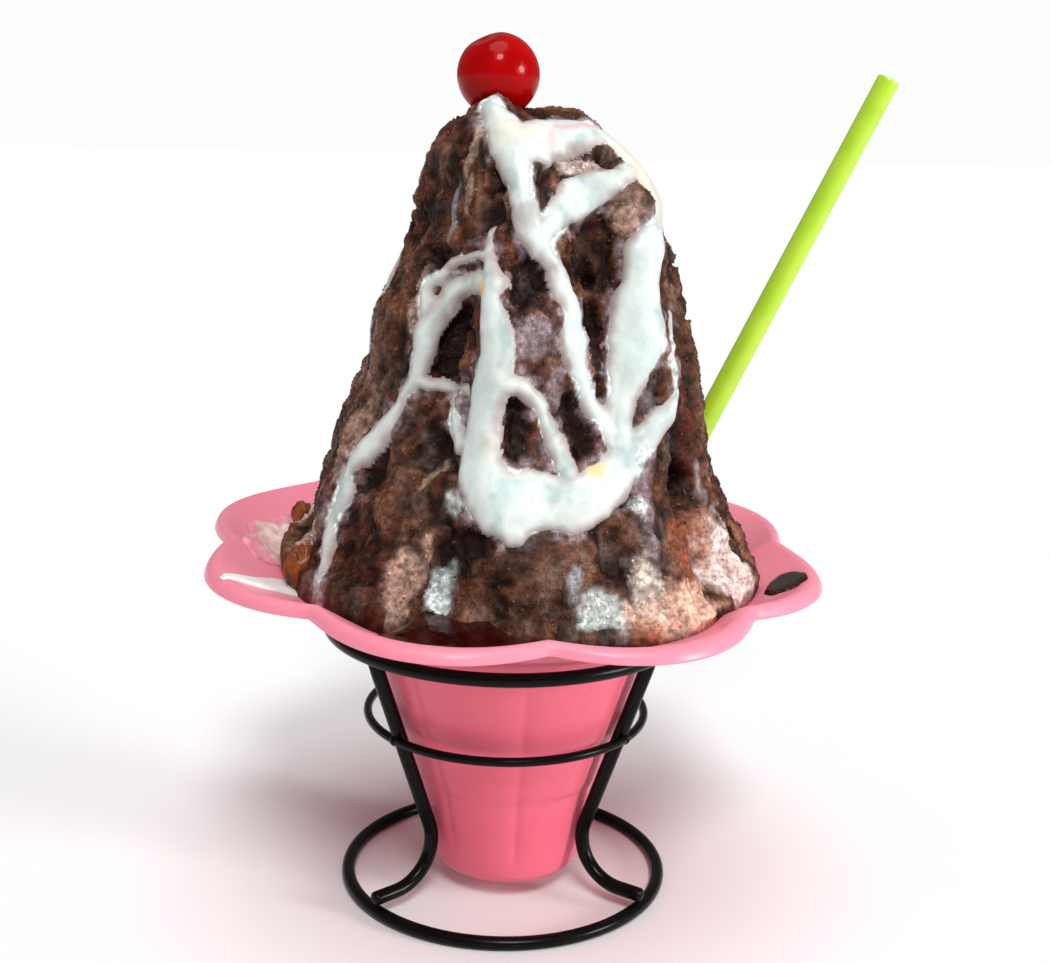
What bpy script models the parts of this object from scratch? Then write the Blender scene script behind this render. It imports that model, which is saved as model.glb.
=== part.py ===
"""Shaved ice dessert: a tall syrup-soaked ice mound with a cherry and a straw, in a flower-rimmed
plastic cup that stands in a wire holder.

Frames: the holder stands level on z = 0.  Cup, ice, cherry and straw share a cup frame whose origin is
the centre of the cup's rim plane and which leans a little towards +X and towards the front, -Y.
The cup's body below the rim still stands upright.
"""

import math

import bmesh
import bpy
from mathutils import Matrix, Vector

MM = 0.001

# Driving dimensions, in metres.
RIM_HEIGHT = 87.0 * MM            # rim plane above the table
CUP_LEAN = math.radians(1.8)      # the loaded cup's rim leans towards +X
CUP_PITCH = math.radians(3.0)     # and towards the front
GAP = 0.35 * MM                   # clearance between pieces that touch

PETALS = 8
STEPS_PER_PETAL = 8
TURN_STEPS = PETALS * STEPS_PER_PETAL
FIRST_TIP = math.radians(-60.3)   # azimuth of a petal tip from +X
TIP_RADIUS = 76.6 * MM
NOTCH_RADIUS = 69.2 * MM
NOTCH_SHARPNESS = 1.1
RIDGE_HEIGHT = 0.6 * MM           # the creases between petals stand above the petals' hollows
PETAL_START = 50.0 * MM           # radius where the flange begins to divide into petals
CUP_WALL = 0.8 * MM

# The cup's inner wall from the bottom outwards: radius and height below the rim plane.
CUP_PROFILE = [
    (18.2 * MM, -79.2 * MM),
    (23.2 * MM, -56.0 * MM),
    (24.1 * MM, -54.8 * MM),
    (28.4 * MM, -41.8 * MM),
    (29.8 * MM, -40.0 * MM),
    (36.6 * MM, -20.0 * MM),
    (37.4 * MM, -17.0 * MM),
    (39.6 * MM, -13.8 * MM),
    (43.4 * MM, -11.4 * MM),
    (PETAL_START, -8.2 * MM),
    (73.2 * MM, 2.2 * MM),
    (75.6 * MM, 1.7 * MM),
    (TIP_RADIUS, -0.2 * MM),
]
BODY_POINTS = 8                   # profile points that belong to the round body

# The ice above the rim: height, half width across the view from the front, centre line's x.
ICE_PROFILE = [
    (-8.0 * MM, 58.5 * MM, 2.6 * MM),
    (1.0 * MM, 55.2 * MM, 3.8 * MM),
    (14.0 * MM, 49.6 * MM, 2.2 * MM),
    (28.0 * MM, 44.6 * MM, 1.2 * MM),
    (42.0 * MM, 39.4 * MM, 4.0 * MM),
    (56.0 * MM, 37.4 * MM, 2.8 * MM),
    (68.0 * MM, 32.8 * MM, 2.8 * MM),
    (80.0 * MM, 28.4 * MM, 3.8 * MM),
    (90.0 * MM, 26.6 * MM, 3.0 * MM),
    (97.0 * MM, 22.0 * MM, -0.4 * MM),
    (101.5 * MM, 17.6 * MM, -1.2 * MM),
]
ICE_WALL_ROWS = 15
ICE_CAP_ROWS = 4
ICE_TOP = 106.0 * MM              # height of the cap's middle
EDGE_GAP = 0.9 * MM               # clearance of the mound's edge over the petals' creases
ICE_EDGE = 2.4 * MM               # thickness of the mound's blunt edge on the flange

# Furrows and ridges down the mound: azimuth from +X in degrees, top and bottom height, width, depth
# (a negative depth is a ridge).
ICE_FURROWS = [
    (-122.0, 62.0 * MM, 36.0 * MM, 9.0 * MM, 6.5 * MM),
    (-64.0, 96.0 * MM, 34.0 * MM, 11.0 * MM, 4.5 * MM),
    (-82.0, 38.0 * MM, 20.0 * MM, 8.0 * MM, 4.0 * MM),
    (-36.0, 26.0 * MM, 4.0 * MM, 8.0 * MM, 5.0 * MM),
    (-142.0, 30.0 * MM, -2.0 * MM, 9.0 * MM, 3.0 * MM),
    (-70.0, 10.0 * MM, -8.0 * MM, 8.0 * MM, 3.0 * MM),
    (-98.0, 66.0 * MM, 8.0 * MM, 11.0 * MM, -3.6 * MM),
    (-44.0, 84.0 * MM, 34.0 * MM, 10.0 * MM, -3.0 * MM),
    (-110.0, 22.0 * MM, -4.0 * MM, 12.0 * MM, -2.4 * MM),
    (-52.0, 20.0 * MM, -6.0 * MM, 10.0 * MM, -2.6 * MM),
]
BACK_FURROWS = 9
BACK_FURROW_START = 18.0          # degrees from +X, counted round the back
BACK_FURROW_STEP = 18.5
BACK_FURROW_WIDTH = 8.0 * MM
BACK_FURROW_DEPTH = 3.4 * MM

CHERRY_RADIUS = 9.6 * MM
CHERRY_CENTRE = Vector((-8.2 * MM, 0.0, 112.8 * MM))
CHERRY_DIMPLE = 1.5 * MM

PEAK_CENTRE = Vector((-9.6 * MM, -9.4 * MM, 0.0))
PEAK_HEIGHT = 6.0 * MM
PEAK_WIDTH = 5.6 * MM

STRAW_RADIUS = 2.8 * MM
STRAW_WALL = 0.45 * MM
STRAW_LENGTH = 210.0 * MM
STRAW_FOOT = Vector((-0.3 * MM, 1.5 * MM, -74.0 * MM))
STRAW_PASSES = Vector((45.9 * MM, 12.5 * MM, 28.1 * MM))

# Wire holder, measured from its own axis, which stands a little left of the rim's centre.
HOLDER_AXIS = Vector((-0.3 * MM, 0.3 * MM, 0.0))
HEAVY_WIRE = 1.65 * MM
LIGHT_WIRE = 1.1 * MM
LEG_WIRE = 1.75 * MM
TOP_RING_RADIUS = 44.4 * MM
TOP_RING_HEIGHT = RIM_HEIGHT - 18.4 * MM
MID_RING_RADIUS = 34.9 * MM
MID_RING_HEIGHT = RIM_HEIGHT - 42.0 * MM
FOOT_RING_RADIUS = 40.0 * MM
FOOT_RING_HEIGHT = HEAVY_WIRE
WELD_DEPTH = 0.8 * MM             # how far a leg sinks into the top ring that it is welded to
LEG_INSIDE = 1.6 * MM             # the legs pass this far inside the middle ring's centre line
LEG_AZIMUTHS = {"leg_left": -139.0, "leg_right": -34.0, "leg_back": 94.0}
LEG_TOP_HEIGHT = RIM_HEIGHT - 19.9 * MM
LEG_BEND_RADIUS = 11.0 * MM
LEG_OVERHANG = 1.5 * MM           # the legs' ends reach past the foot ring's centre line
LEG_BEND_STEPS = 7
MIDDLE_ARCS = ("middle_arc_front", "middle_arc_right", "middle_arc_left")
RING_STEPS = 32
ARC_STEPS = 12
WIRE_SIDES = 8


def clear_scene():
    for old in list(bpy.data.objects):
        bpy.data.objects.remove(old, do_unlink=True)


def make_material(name, colour, roughness, metallic=0.0):
    material = bpy.data.materials.new(name)
    material.use_nodes = True
    shader = material.node_tree.nodes["Principled BSDF"]
    shader.inputs["Base Color"].default_value = (*colour, 1.0)
    shader.inputs["Roughness"].default_value = roughness
    shader.inputs["Metallic"].default_value = metallic
    material.diffuse_color = (*colour, 1.0)
    return material


def add_object(name, data, parent, material=None):
    piece = bpy.data.objects.new(name, data)
    piece.parent = parent
    bpy.context.scene.collection.objects.link(piece)
    if material is not None:
        data.materials.append(material)
    return piece


def mesh_from_rows(name, rows, smooth_angle):
    """A closed skin from rings of points that start and end at a single point on the axis.

    Each row is counter-clockwise seen from +Z; the first row is the lowest cap's centre.
    """
    builder = bmesh.new()
    first = builder.verts.new(rows[0][0])
    last = builder.verts.new(rows[-1][0])
    rings = [[builder.verts.new(point) for point in row] for row in rows[1:-1]]
    count = len(rings[0])
    for step in range(count):
        after = (step + 1) % count
        builder.faces.new((first, rings[0][after], rings[0][step]))
        for low, high in zip(rings, rings[1:]):
            builder.faces.new((low[step], low[after], high[after], high[step]))
        builder.faces.new((rings[-1][step], rings[-1][after], last))
    bmesh.ops.triangulate(builder, faces=builder.faces[:])
    bmesh.ops.recalc_face_normals(builder, faces=builder.faces[:])
    mesh = bpy.data.meshes.new(name)
    builder.to_mesh(mesh)
    builder.free()
    mesh.shade_smooth()
    mesh.set_sharp_from_angle(angle=smooth_angle)
    return mesh


def interpolate(table, key, column):
    """A value of a table whose rows are sorted by their first entry, eased between the rows."""
    if key <= table[0][0]:
        return table[0][column]
    for low, high in zip(table, table[1:]):
        if key <= high[0]:
            share = (key - low[0]) / (high[0] - low[0])
            return low[column] + (high[column] - low[column]) * share
    return table[-1][column]


def turn_angles():
    return [FIRST_TIP + step * math.tau / TURN_STEPS for step in range(TURN_STEPS)]


def petal_share(angle):
    """1 at a petal's tip and 0 in the notch between two petals."""
    return abs(math.cos(PETALS * (angle - FIRST_TIP) / 2)) ** NOTCH_SHARPNESS


def lip_radius(angle):
    return NOTCH_RADIUS + (TIP_RADIUS - NOTCH_RADIUS) * petal_share(angle)


def flange_stretch(angle):
    return (lip_radius(angle) - PETAL_START) / (TIP_RADIUS - PETAL_START)


def crease_lift(nominal, angle):
    """Height that the creases between petals add at a radius of the unstretched profile."""
    reach = max(0.0, (nominal - PETAL_START) / (TIP_RADIUS - PETAL_START))
    return RIDGE_HEIGHT * reach * (1.0 - petal_share(angle)) ** 2


def upright(point):
    """Shifts a point of the cup's wall so that the wall's axis is plumb although the rim leans."""
    return point + Vector((-point.z * math.tan(CUP_LEAN), point.z * math.tan(CUP_PITCH), 0.0))


def cup_point(nominal, height, angle):
    radius = nominal
    if nominal > PETAL_START:
        radius = PETAL_START + (nominal - PETAL_START) * flange_stretch(angle)
    height = height + crease_lift(nominal, angle)
    return upright(Vector((radius * math.cos(angle), radius * math.sin(angle), height)))


def flange_height(radius, angle):
    """Height of the flange's upper face at a true radius."""
    nominal = radius
    if radius > PETAL_START:
        nominal = PETAL_START + (radius - PETAL_START) / flange_stretch(angle)
    return interpolate(CUP_PROFILE, nominal, 1) + crease_lift(nominal, angle)


def offset_profile(profile, distance):
    """The profile moved sideways by a distance, to the outer side for a positive one."""
    moved = []
    for index, (radius, height) in enumerate(profile):
        before = Vector(profile[max(index - 1, 0)])
        after = Vector(profile[min(index + 1, len(profile) - 1)])
        along = (after - before).normalized()
        moved.append((radius + along.y * distance, height - along.x * distance))
    return moved


def build_cup(parent, material):
    inner = CUP_PROFILE
    outer = offset_profile(inner, CUP_WALL)
    bottom = inner[0][1]
    outer[0] = (inner[0][0], bottom - CUP_WALL)
    angles = turn_angles()
    rows = [[upright(Vector((0.0, 0.0, bottom - CUP_WALL)))]]
    for radius, height in outer:
        rows.append([cup_point(radius, height, angle) for angle in angles])
    for radius, height in reversed(inner):
        rows.append([cup_point(radius, height, angle) for angle in angles])
    rows.append([upright(Vector((0.0, 0.0, bottom)))])
    mesh = mesh_from_rows("cup", rows, math.radians(50))
    return add_object("cup", mesh, parent, material)


def angle_between(first, second):
    """Smallest difference of two azimuths, in radians."""
    return abs((first - second + math.pi) % math.tau - math.pi)


def smooth_window(value, low, high, fade):
    """1 between low and high, falling to 0 over the fade outside them."""
    outside = max(low - value, value - high, 0.0)
    return math.exp(-(outside / fade) ** 2)


def all_furrows():
    furrows = list(ICE_FURROWS)
    for number in range(BACK_FURROWS):
        azimuth = BACK_FURROW_START + number * BACK_FURROW_STEP
        top = (44.0 + 38.0 * math.sin(2.4 * number)) * MM
        bottom = top - (34.0 + 14.0 * math.cos(1.7 * number)) * MM
        depth = BACK_FURROW_DEPTH * (1.0 if number % 2 else -0.8)
        furrows.append((azimuth, top, bottom, BACK_FURROW_WIDTH, depth))
    return furrows


def furrow_depth(angle, height, radius, furrows):
    depth = 0.0
    for azimuth, top, bottom, width, deepest in furrows:
        across = angle_between(angle, math.radians(azimuth)) * radius / width
        if across < 2.0:
            depth += deepest * math.exp(-(across * 1.6) ** 2) * smooth_window(height, bottom, top, width)
    return depth


def ice_wall_point(angle, height, furrows):
    """A point of the mound's side: an uneven tower of lobes that leans with its centre line."""
    half_width = interpolate(ICE_PROFILE, height, 1)
    centre = interpolate(ICE_PROFILE, height, 2)
    lobes = 1.3 * math.sin(4 * angle + 40.0 * height) + 1.0 * math.sin(7 * angle - 65.0 * height)
    radius = half_width + lobes * MM * math.sin(angle) ** 2
    radius -= furrow_depth(angle, height, half_width, furrows)
    return Vector((centre + radius * math.cos(angle), radius * math.sin(angle), height))


def ice_cap_height(x, y, edge_height, share):
    """Height of the mound's rounded top, with the small peak in front of the cherry."""
    dome = edge_height + (ICE_TOP - edge_height) * (1.0 - share ** 2)
    from_peak = math.hypot(x - PEAK_CENTRE.x, y - PEAK_CENTRE.y) / PEAK_WIDTH
    return dome + PEAK_HEIGHT * math.exp(-from_peak ** 2)


def build_ice(parent, material, cutters):
    angles = turn_angles()
    furrows = all_furrows()
    inner = offset_profile(CUP_PROFILE, -GAP)
    bottom = CUP_PROFILE[0][1] + GAP
    inner[0] = (CUP_PROFILE[0][0] - GAP, bottom)
    rows = [[upright(Vector((0.0, 0.0, bottom)))]]
    for radius, height in inner[:BODY_POINTS + 2]:
        rows.append([cup_point(radius, height, angle) for angle in angles])
    edge = []
    for angle in angles:
        contact = ice_wall_point(angle, ICE_PROFILE[0][0], furrows)
        reach = math.hypot(contact.x, contact.y)
        turned = math.atan2(contact.y, contact.x)
        contact.z = flange_height(reach, turned) + EDGE_GAP
        edge.append(contact)
    rows.append(edge)
    rows.append([point + Vector((0.0, 0.0, ICE_EDGE)) for point in edge])
    edge_height = ICE_PROFILE[-1][0]
    first_height = 3.0 * MM
    for number in range(ICE_WALL_ROWS):
        height = first_height + (edge_height - first_height) * number / (ICE_WALL_ROWS - 1)
        rows.append([ice_wall_point(angle, height, furrows) for angle in angles])
    rim = rows[-1]
    middle = Vector((ICE_PROFILE[-1][2], 0.0, 0.0))
    for number in range(1, ICE_CAP_ROWS):
        share = 1.0 - number / ICE_CAP_ROWS
        row = []
        for point in rim:
            x = middle.x + (point.x - middle.x) * share
            y = point.y * share
            row.append(Vector((x, y, ice_cap_height(x, y, edge_height, share))))
        rows.append(row)
    rows.append([Vector((middle.x, 0.0, ice_cap_height(middle.x, 0.0, edge_height, 0.0)))])
    mesh = mesh_from_rows("ice", rows, math.radians(60))
    ice = add_object("ice", mesh, parent, material)
    for cutter in cutters:
        cut = ice.modifiers.new("cut_" + cutter.name, "BOOLEAN")
        cut.operation = "DIFFERENCE"
        cut.object = cutter
    return ice


def hide_cutter(piece):
    piece.hide_render = True
    piece.display_type = "WIRE"
    return piece


def build_cherry(name, radius, parent, material=None):
    """A ball with a shallow dimple where the stem was, turned towards the upper left."""
    builder = bmesh.new()
    bmesh.ops.create_uvsphere(builder, u_segments=16, v_segments=10, radius=radius)
    for vert in builder.verts:
        tilt = math.acos(max(-1.0, min(1.0, vert.co.z / radius)))
        vert.co.z -= CHERRY_DIMPLE * math.exp(-(tilt / 0.35) ** 2)
    bmesh.ops.triangulate(builder, faces=builder.faces[:])
    mesh = bpy.data.meshes.new(name)
    builder.to_mesh(mesh)
    builder.free()
    mesh.shade_smooth()
    piece = add_object(name, mesh, parent, material)
    piece.location = CHERRY_CENTRE
    piece.rotation_euler = (math.radians(12), math.radians(-24), 0.0)
    return piece


def sweep_mesh(name, points, radius, sides, side_axis, bore=0.0):
    """A tube along points that lie in the plane across side_axis, solid or with a bore."""
    builder = bmesh.new()
    outer = []
    inner = []
    for index, point in enumerate(points):
        before = points[max(index - 1, 0)]
        after = points[min(index + 1, len(points) - 1)]
        along = (after - before).normalized()
        across = along.cross(side_axis).normalized()
        outer.append([])
        inner.append([])
        for step in range(sides):
            turn = math.tau * step / sides
            spoke = side_axis * math.sin(turn) + across * math.cos(turn)
            outer[-1].append(builder.verts.new(point + spoke * radius))
            if bore > 0.0:
                inner[-1].append(builder.verts.new(point + spoke * bore))
    join_rings(builder, outer, sides)
    if bore > 0.0:
        join_rings(builder, list(reversed(inner)), sides)
        join_rings(builder, [inner[0], outer[0]], sides)
        join_rings(builder, [outer[-1], inner[-1]], sides)
    else:
        builder.faces.new(list(reversed(outer[0])))
        builder.faces.new(outer[-1])
    bmesh.ops.triangulate(builder, faces=builder.faces[:])
    bmesh.ops.recalc_face_normals(builder, faces=builder.faces[:])
    mesh = bpy.data.meshes.new(name)
    builder.to_mesh(mesh)
    builder.free()
    mesh.shade_smooth()
    mesh.set_sharp_from_angle(angle=math.radians(50))
    return mesh


def join_rings(builder, rings, sides):
    for low, high in zip(rings, rings[1:]):
        for step in range(sides):
            after = (step + 1) % sides
            builder.faces.new((low[step], low[after], high[after], high[step]))


def straw_axis():
    return (STRAW_PASSES - STRAW_FOOT).normalized()


def build_straw(parent, material):
    points = [STRAW_FOOT, STRAW_FOOT + straw_axis() * STRAW_LENGTH]
    side_axis = straw_axis().orthogonal().normalized()
    mesh = sweep_mesh("straw", points, STRAW_RADIUS, 16, side_axis, STRAW_RADIUS - STRAW_WALL)
    return add_object("straw", mesh, parent, material)


def build_straw_cutter(parent):
    """A rod along the straw, wider by the gap, which drills the ice from the straw's foot up."""
    start = STRAW_FOOT - straw_axis() * GAP
    points = [start, start + straw_axis() * STRAW_LENGTH]
    side_axis = straw_axis().orthogonal().normalized()
    mesh = sweep_mesh("straw_cutter", points, STRAW_RADIUS + GAP, 16, side_axis)
    return hide_cutter(add_object("straw_cutter", mesh, parent))


def holder_point(radius, angle, height):
    spoke = Vector((math.cos(angle), math.sin(angle), 0.0)) * radius
    return HOLDER_AXIS + spoke + Vector((0.0, 0.0, height))


def build_ring(name, radius, height, wire, parent, material, cutters=()):
    """A closed wire ring, notched where the legs are welded into it."""
    builder = bmesh.new()
    turn = Matrix.Rotation(math.pi / 2, 4, "X")
    start = holder_point(radius, 0.0, height)
    section = bmesh.ops.create_circle(
        builder, segments=WIRE_SIDES, radius=wire, matrix=Matrix.Translation(start) @ turn)
    edges = [edge for edge in builder.edges]
    bmesh.ops.spin(
        builder, geom=section["verts"] + edges, cent=HOLDER_AXIS, axis=(0.0, 0.0, 1.0),
        angle=math.tau, steps=RING_STEPS, use_merge=True)
    bmesh.ops.triangulate(builder, faces=builder.faces[:])
    bmesh.ops.recalc_face_normals(builder, faces=builder.faces[:])
    mesh = bpy.data.meshes.new(name)
    builder.to_mesh(mesh)
    builder.free()
    mesh.shade_smooth()
    mesh.set_sharp_from_angle(angle=math.radians(60))
    ring = add_object(name, mesh, parent, material)
    for cutter in cutters:
        notch = ring.modifiers.new("notch_" + cutter.name, "BOOLEAN")
        notch.operation = "DIFFERENCE"
        notch.object = cutter
    return ring


def leg_points(azimuth):
    """A leg: straight down inside the top ring and the middle ring, then out over the foot."""
    angle = math.radians(azimuth)
    upper = Vector((TOP_RING_RADIUS - HEAVY_WIRE - LEG_WIRE + WELD_DEPTH, TOP_RING_HEIGHT))
    lower = Vector((MID_RING_RADIUS - LEG_INSIDE, MID_RING_HEIGHT))
    inward = (upper.x - lower.x) / (upper.y - lower.y)
    lean = math.atan(inward)
    end_height = FOOT_RING_HEIGHT + HEAVY_WIRE + LEG_WIRE + GAP
    bend_height = end_height + LEG_BEND_RADIUS * (1.0 + math.sin(lean))
    bend_reach = lower.x - inward * (lower.y - bend_height)
    outline = [(upper.x + inward * (LEG_TOP_HEIGHT - upper.y), LEG_TOP_HEIGHT)]
    for step in range(LEG_BEND_STEPS + 1):
        heading = -lean + (math.pi / 2 + lean) * step / LEG_BEND_STEPS
        reach = bend_reach + LEG_BEND_RADIUS * (math.cos(lean) - math.cos(heading))
        height = bend_height - LEG_BEND_RADIUS * (math.sin(lean) + math.sin(heading))
        outline.append((reach, height))
    outline.append((FOOT_RING_RADIUS + LEG_OVERHANG, end_height))
    return [holder_point(reach, angle, height) for reach, height in outline]


def build_leg(name, azimuth, wire, parent, material=None):
    angle = math.radians(azimuth)
    side_axis = Vector((-math.sin(angle), math.cos(angle), 0.0))
    mesh = sweep_mesh(name, leg_points(azimuth), wire, WIRE_SIDES, side_axis)
    return add_object(name, mesh, parent, material)


def build_middle_arcs(parent, material):
    """The thin middle ring, as three arcs welded between the legs."""
    clearance = math.asin((LEG_WIRE + GAP) / MID_RING_RADIUS)
    starts = sorted(math.radians(azimuth) for azimuth in LEG_AZIMUTHS.values())
    ends = starts[1:] + [starts[0] + math.tau]
    for name, start, end in zip(MIDDLE_ARCS, starts, ends):
        low = start + clearance
        span = end - clearance - low
        points = [
            holder_point(MID_RING_RADIUS, low + span * step / ARC_STEPS, MID_RING_HEIGHT)
            for step in range(ARC_STEPS + 1)]
        mesh = sweep_mesh(name, points, LIGHT_WIRE, WIRE_SIDES, Vector((0.0, 0.0, 1.0)))
        add_object(name, mesh, parent, material)


def build_holder(parent, material):
    cutters = []
    for name, azimuth in LEG_AZIMUTHS.items():
        build_leg(name, azimuth, LEG_WIRE, parent, material)
        cutters.append(hide_cutter(build_leg("cutter_" + name, azimuth, LEG_WIRE + GAP, parent)))
    build_ring("top_ring", TOP_RING_RADIUS, TOP_RING_HEIGHT, HEAVY_WIRE, parent, material, cutters)
    build_middle_arcs(parent, material)
    build_ring("foot_ring", FOOT_RING_RADIUS, FOOT_RING_HEIGHT, HEAVY_WIRE, parent, material)


def middle_of_reach():
    """The x half-way between the leftmost petal and the straw's far end, with the cup upright."""
    straw_end = (STRAW_FOOT + straw_axis() * STRAW_LENGTH).x + STRAW_RADIUS
    petal_end = min(lip_radius(angle) * math.cos(angle) for angle in turn_angles())
    straw_lean = (STRAW_FOOT + straw_axis() * STRAW_LENGTH).z * math.sin(CUP_LEAN)
    return (straw_end + straw_lean + petal_end) / 2


def main():
    clear_scene()
    origin = add_object("part_frame", None, None)
    origin.location = (-middle_of_reach(), 0.0, 0.0)
    cup_frame = add_object("cup_frame", None, origin)
    cup_frame.location = (0.0, 0.0, RIM_HEIGHT)
    cup_frame.rotation_euler = (CUP_PITCH, CUP_LEAN, 0.0)

    plastic = make_material("pink_plastic", (0.84, 0.27, 0.36), 0.3)
    syrup_ice = make_material("chocolate_ice", (0.07, 0.025, 0.014), 0.5)
    fruit = make_material("cherry_red", (0.3, 0.004, 0.01), 0.12)
    lime = make_material("lime_plastic", (0.44, 0.68, 0.05), 0.35)
    black = make_material("black_wire", (0.01, 0.01, 0.01), 0.25, 0.6)

    build_cup(cup_frame, plastic)
    build_straw(cup_frame, lime)
    build_cherry("cherry", CHERRY_RADIUS, cup_frame, fruit)
    dimple = hide_cutter(build_cherry("cherry_cutter", CHERRY_RADIUS + GAP, cup_frame))
    build_ice(cup_frame, syrup_ice, [build_straw_cutter(cup_frame), dimple])
    build_holder(origin, black)


main()
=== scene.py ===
"""Looks of the shaved ice dessert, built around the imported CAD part.

Shapes are worked out in millimetres in one of two frames: the cup frame, whose origin is the centre of the
cup's rim plane and which leans with the cup, and the holder frame, which is upright round the same origin.
"""

import math

import bpy
import numpy as np
from mathutils import Matrix, Vector
from mathutils.bvhtree import BVHTree


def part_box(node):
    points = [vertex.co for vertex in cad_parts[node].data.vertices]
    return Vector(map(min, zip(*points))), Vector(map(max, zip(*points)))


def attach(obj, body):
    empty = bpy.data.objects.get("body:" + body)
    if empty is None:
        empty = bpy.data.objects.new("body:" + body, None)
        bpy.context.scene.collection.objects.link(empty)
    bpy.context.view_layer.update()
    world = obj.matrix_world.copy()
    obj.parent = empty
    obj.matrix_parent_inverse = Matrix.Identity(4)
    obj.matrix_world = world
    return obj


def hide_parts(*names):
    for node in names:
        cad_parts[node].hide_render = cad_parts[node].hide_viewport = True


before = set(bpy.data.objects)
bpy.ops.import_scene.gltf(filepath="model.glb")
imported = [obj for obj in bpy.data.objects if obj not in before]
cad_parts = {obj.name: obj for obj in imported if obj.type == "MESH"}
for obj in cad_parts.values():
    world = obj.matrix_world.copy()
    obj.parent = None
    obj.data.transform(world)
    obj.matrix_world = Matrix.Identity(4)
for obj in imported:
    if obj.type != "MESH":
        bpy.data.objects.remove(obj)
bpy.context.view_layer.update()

MM = 0.001

# Where the cup frame is, from the holder's rings.
CUP_LEAN = math.radians(1.8)                   # towards +X
CUP_PITCH = math.radians(3.0)                  # towards the front
HOLDER_AXIS = np.array([-0.3, 0.3, 0.0])       # the holder's axis from the rim's centre
RIM_ABOVE_RING = 18.4

# Cup.
PETALS = 8
FIRST_TIP = math.radians(-60.3)
TIP_RADIUS = 76.5
NOTCH_RADIUS = 69.2
NOTCH_SHARPNESS = 1.1
RIDGE_HEIGHT = 0.6
PETAL_START = 50.0
CUP_WALL = 0.8
CUP_PROFILE = [
    (18.2, -79.2), (23.2, -56.0), (24.1, -54.8), (28.4, -41.8), (29.8, -40.0), (36.6, -20.0), (37.4, -17.0),
    (39.6, -13.8), (43.4, -11.4), (PETAL_START, -8.2), (73.2, 2.2), (75.6, 1.7), (TIP_RADIUS, -0.2)]
CORNER_ROUNDING = 1.1
PROFILE_STEP = 1.4                # longest step along the cup's profile
CUP_COLUMNS = PETALS * 40
FLUTE_DEPTH = 0.5                # shallow creases down the cup's body, below each notch
FLUTE_TOP = -18.0
FLUTE_BOTTOM = -76.0

# Ice mound, on a grid of azimuths and heights round its own upright axis.
MOUND_AXIS = 2.5                  # x of the mound's axis
MOUND_COLUMNS = 420
WALL_ROWS = 194
WALL_LOW = -1.0
WALL_TOP = 101.5
CAP_ROWS = 22
CAP_RADIUS = 17.6
RAY_START = 95.0
MOUND_BLUR = 1.7                  # how far the CAD's facets are smoothed out
FOOT_SINK = 0.3                   # how far the mound's foot reaches into the flange's skin
FILLING_GAP = 1.2                 # between the cup's wall and the ice inside it
HOLE_MARGIN = 5.2                 # the straw's hole is filled out to here from its axis

# Hollows and swellings: azimuth, height, half width, half height, depth (negative swells).
HOLLOWS = [
    (-124, 54, 4.2, 8.5, 3.4), (-94, 41, 2.9, 8.5, 3.6), (-74, 42, 3.6, 8.0, 3.0), (-113, 86, 2.6, 8.0, 2.6),
    (-92, 72, 4.6, 6.0, 3.4), (-134, 74, 4.5, 3.0, 2.8), (-65, 57, 1.7, 15, 3.2), (-33, 24, 2.9, 6.0, 5.0),
    (-50, 46, 2.4, 6.0, 2.4), (-102, 17, 6.0, 3.4, 2.4), (-143, 27, 3.4, 7.0, 2.2), (-122, 33, 5.5, 5.0, 2.0),
    (-89, 89, 2.2, 5.5, 2.0), (-63, 76, 4.2, 8.0, 1.6), (-52, 97, 9.0, 0.7, 2.2), (-108, 13, 3.4, 3.6, 2.0),
    (-66, 13, 3.6, 6.5, 2.0), (-61, 25, 2.4, 1.6, 2.6), (-36, 36, 2.2, 5.0, 2.4), (-133, 12, 5.0, 4.0, 1.6),
    (-172, -1, 8.0, 5.0, -2.4), (-26, 5, 6.0, 7.0, -1.4), (-32, 14, 3.0, 6.0, -1.6), (-22, 40, 2.0, 22, -1.2),
    (-88, 9, 6.0, 6.0, -1.4), (-110, 4, 4.0, 4.0, -1.0), (-158, 60, 7.0, 9.0, -1.0), (-130, 20, 4.0, 5.0, -1.4),
    (30, 62, 5.0, 9.0, 3.2), (78, 50, 4.5, 8.0, 3.4), (118, 70, 4.0, 7.0, 3.0), (160, 44, 4.4, 7.5, 2.8),
    (88, 12, 6.0, 5.0, 2.6), (44, 20, 4.0, 7.0, 3.0), (130, 24, 5.0, 6.0, 2.6), (52, 86, 3.0, 6.0, 2.4)]

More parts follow.
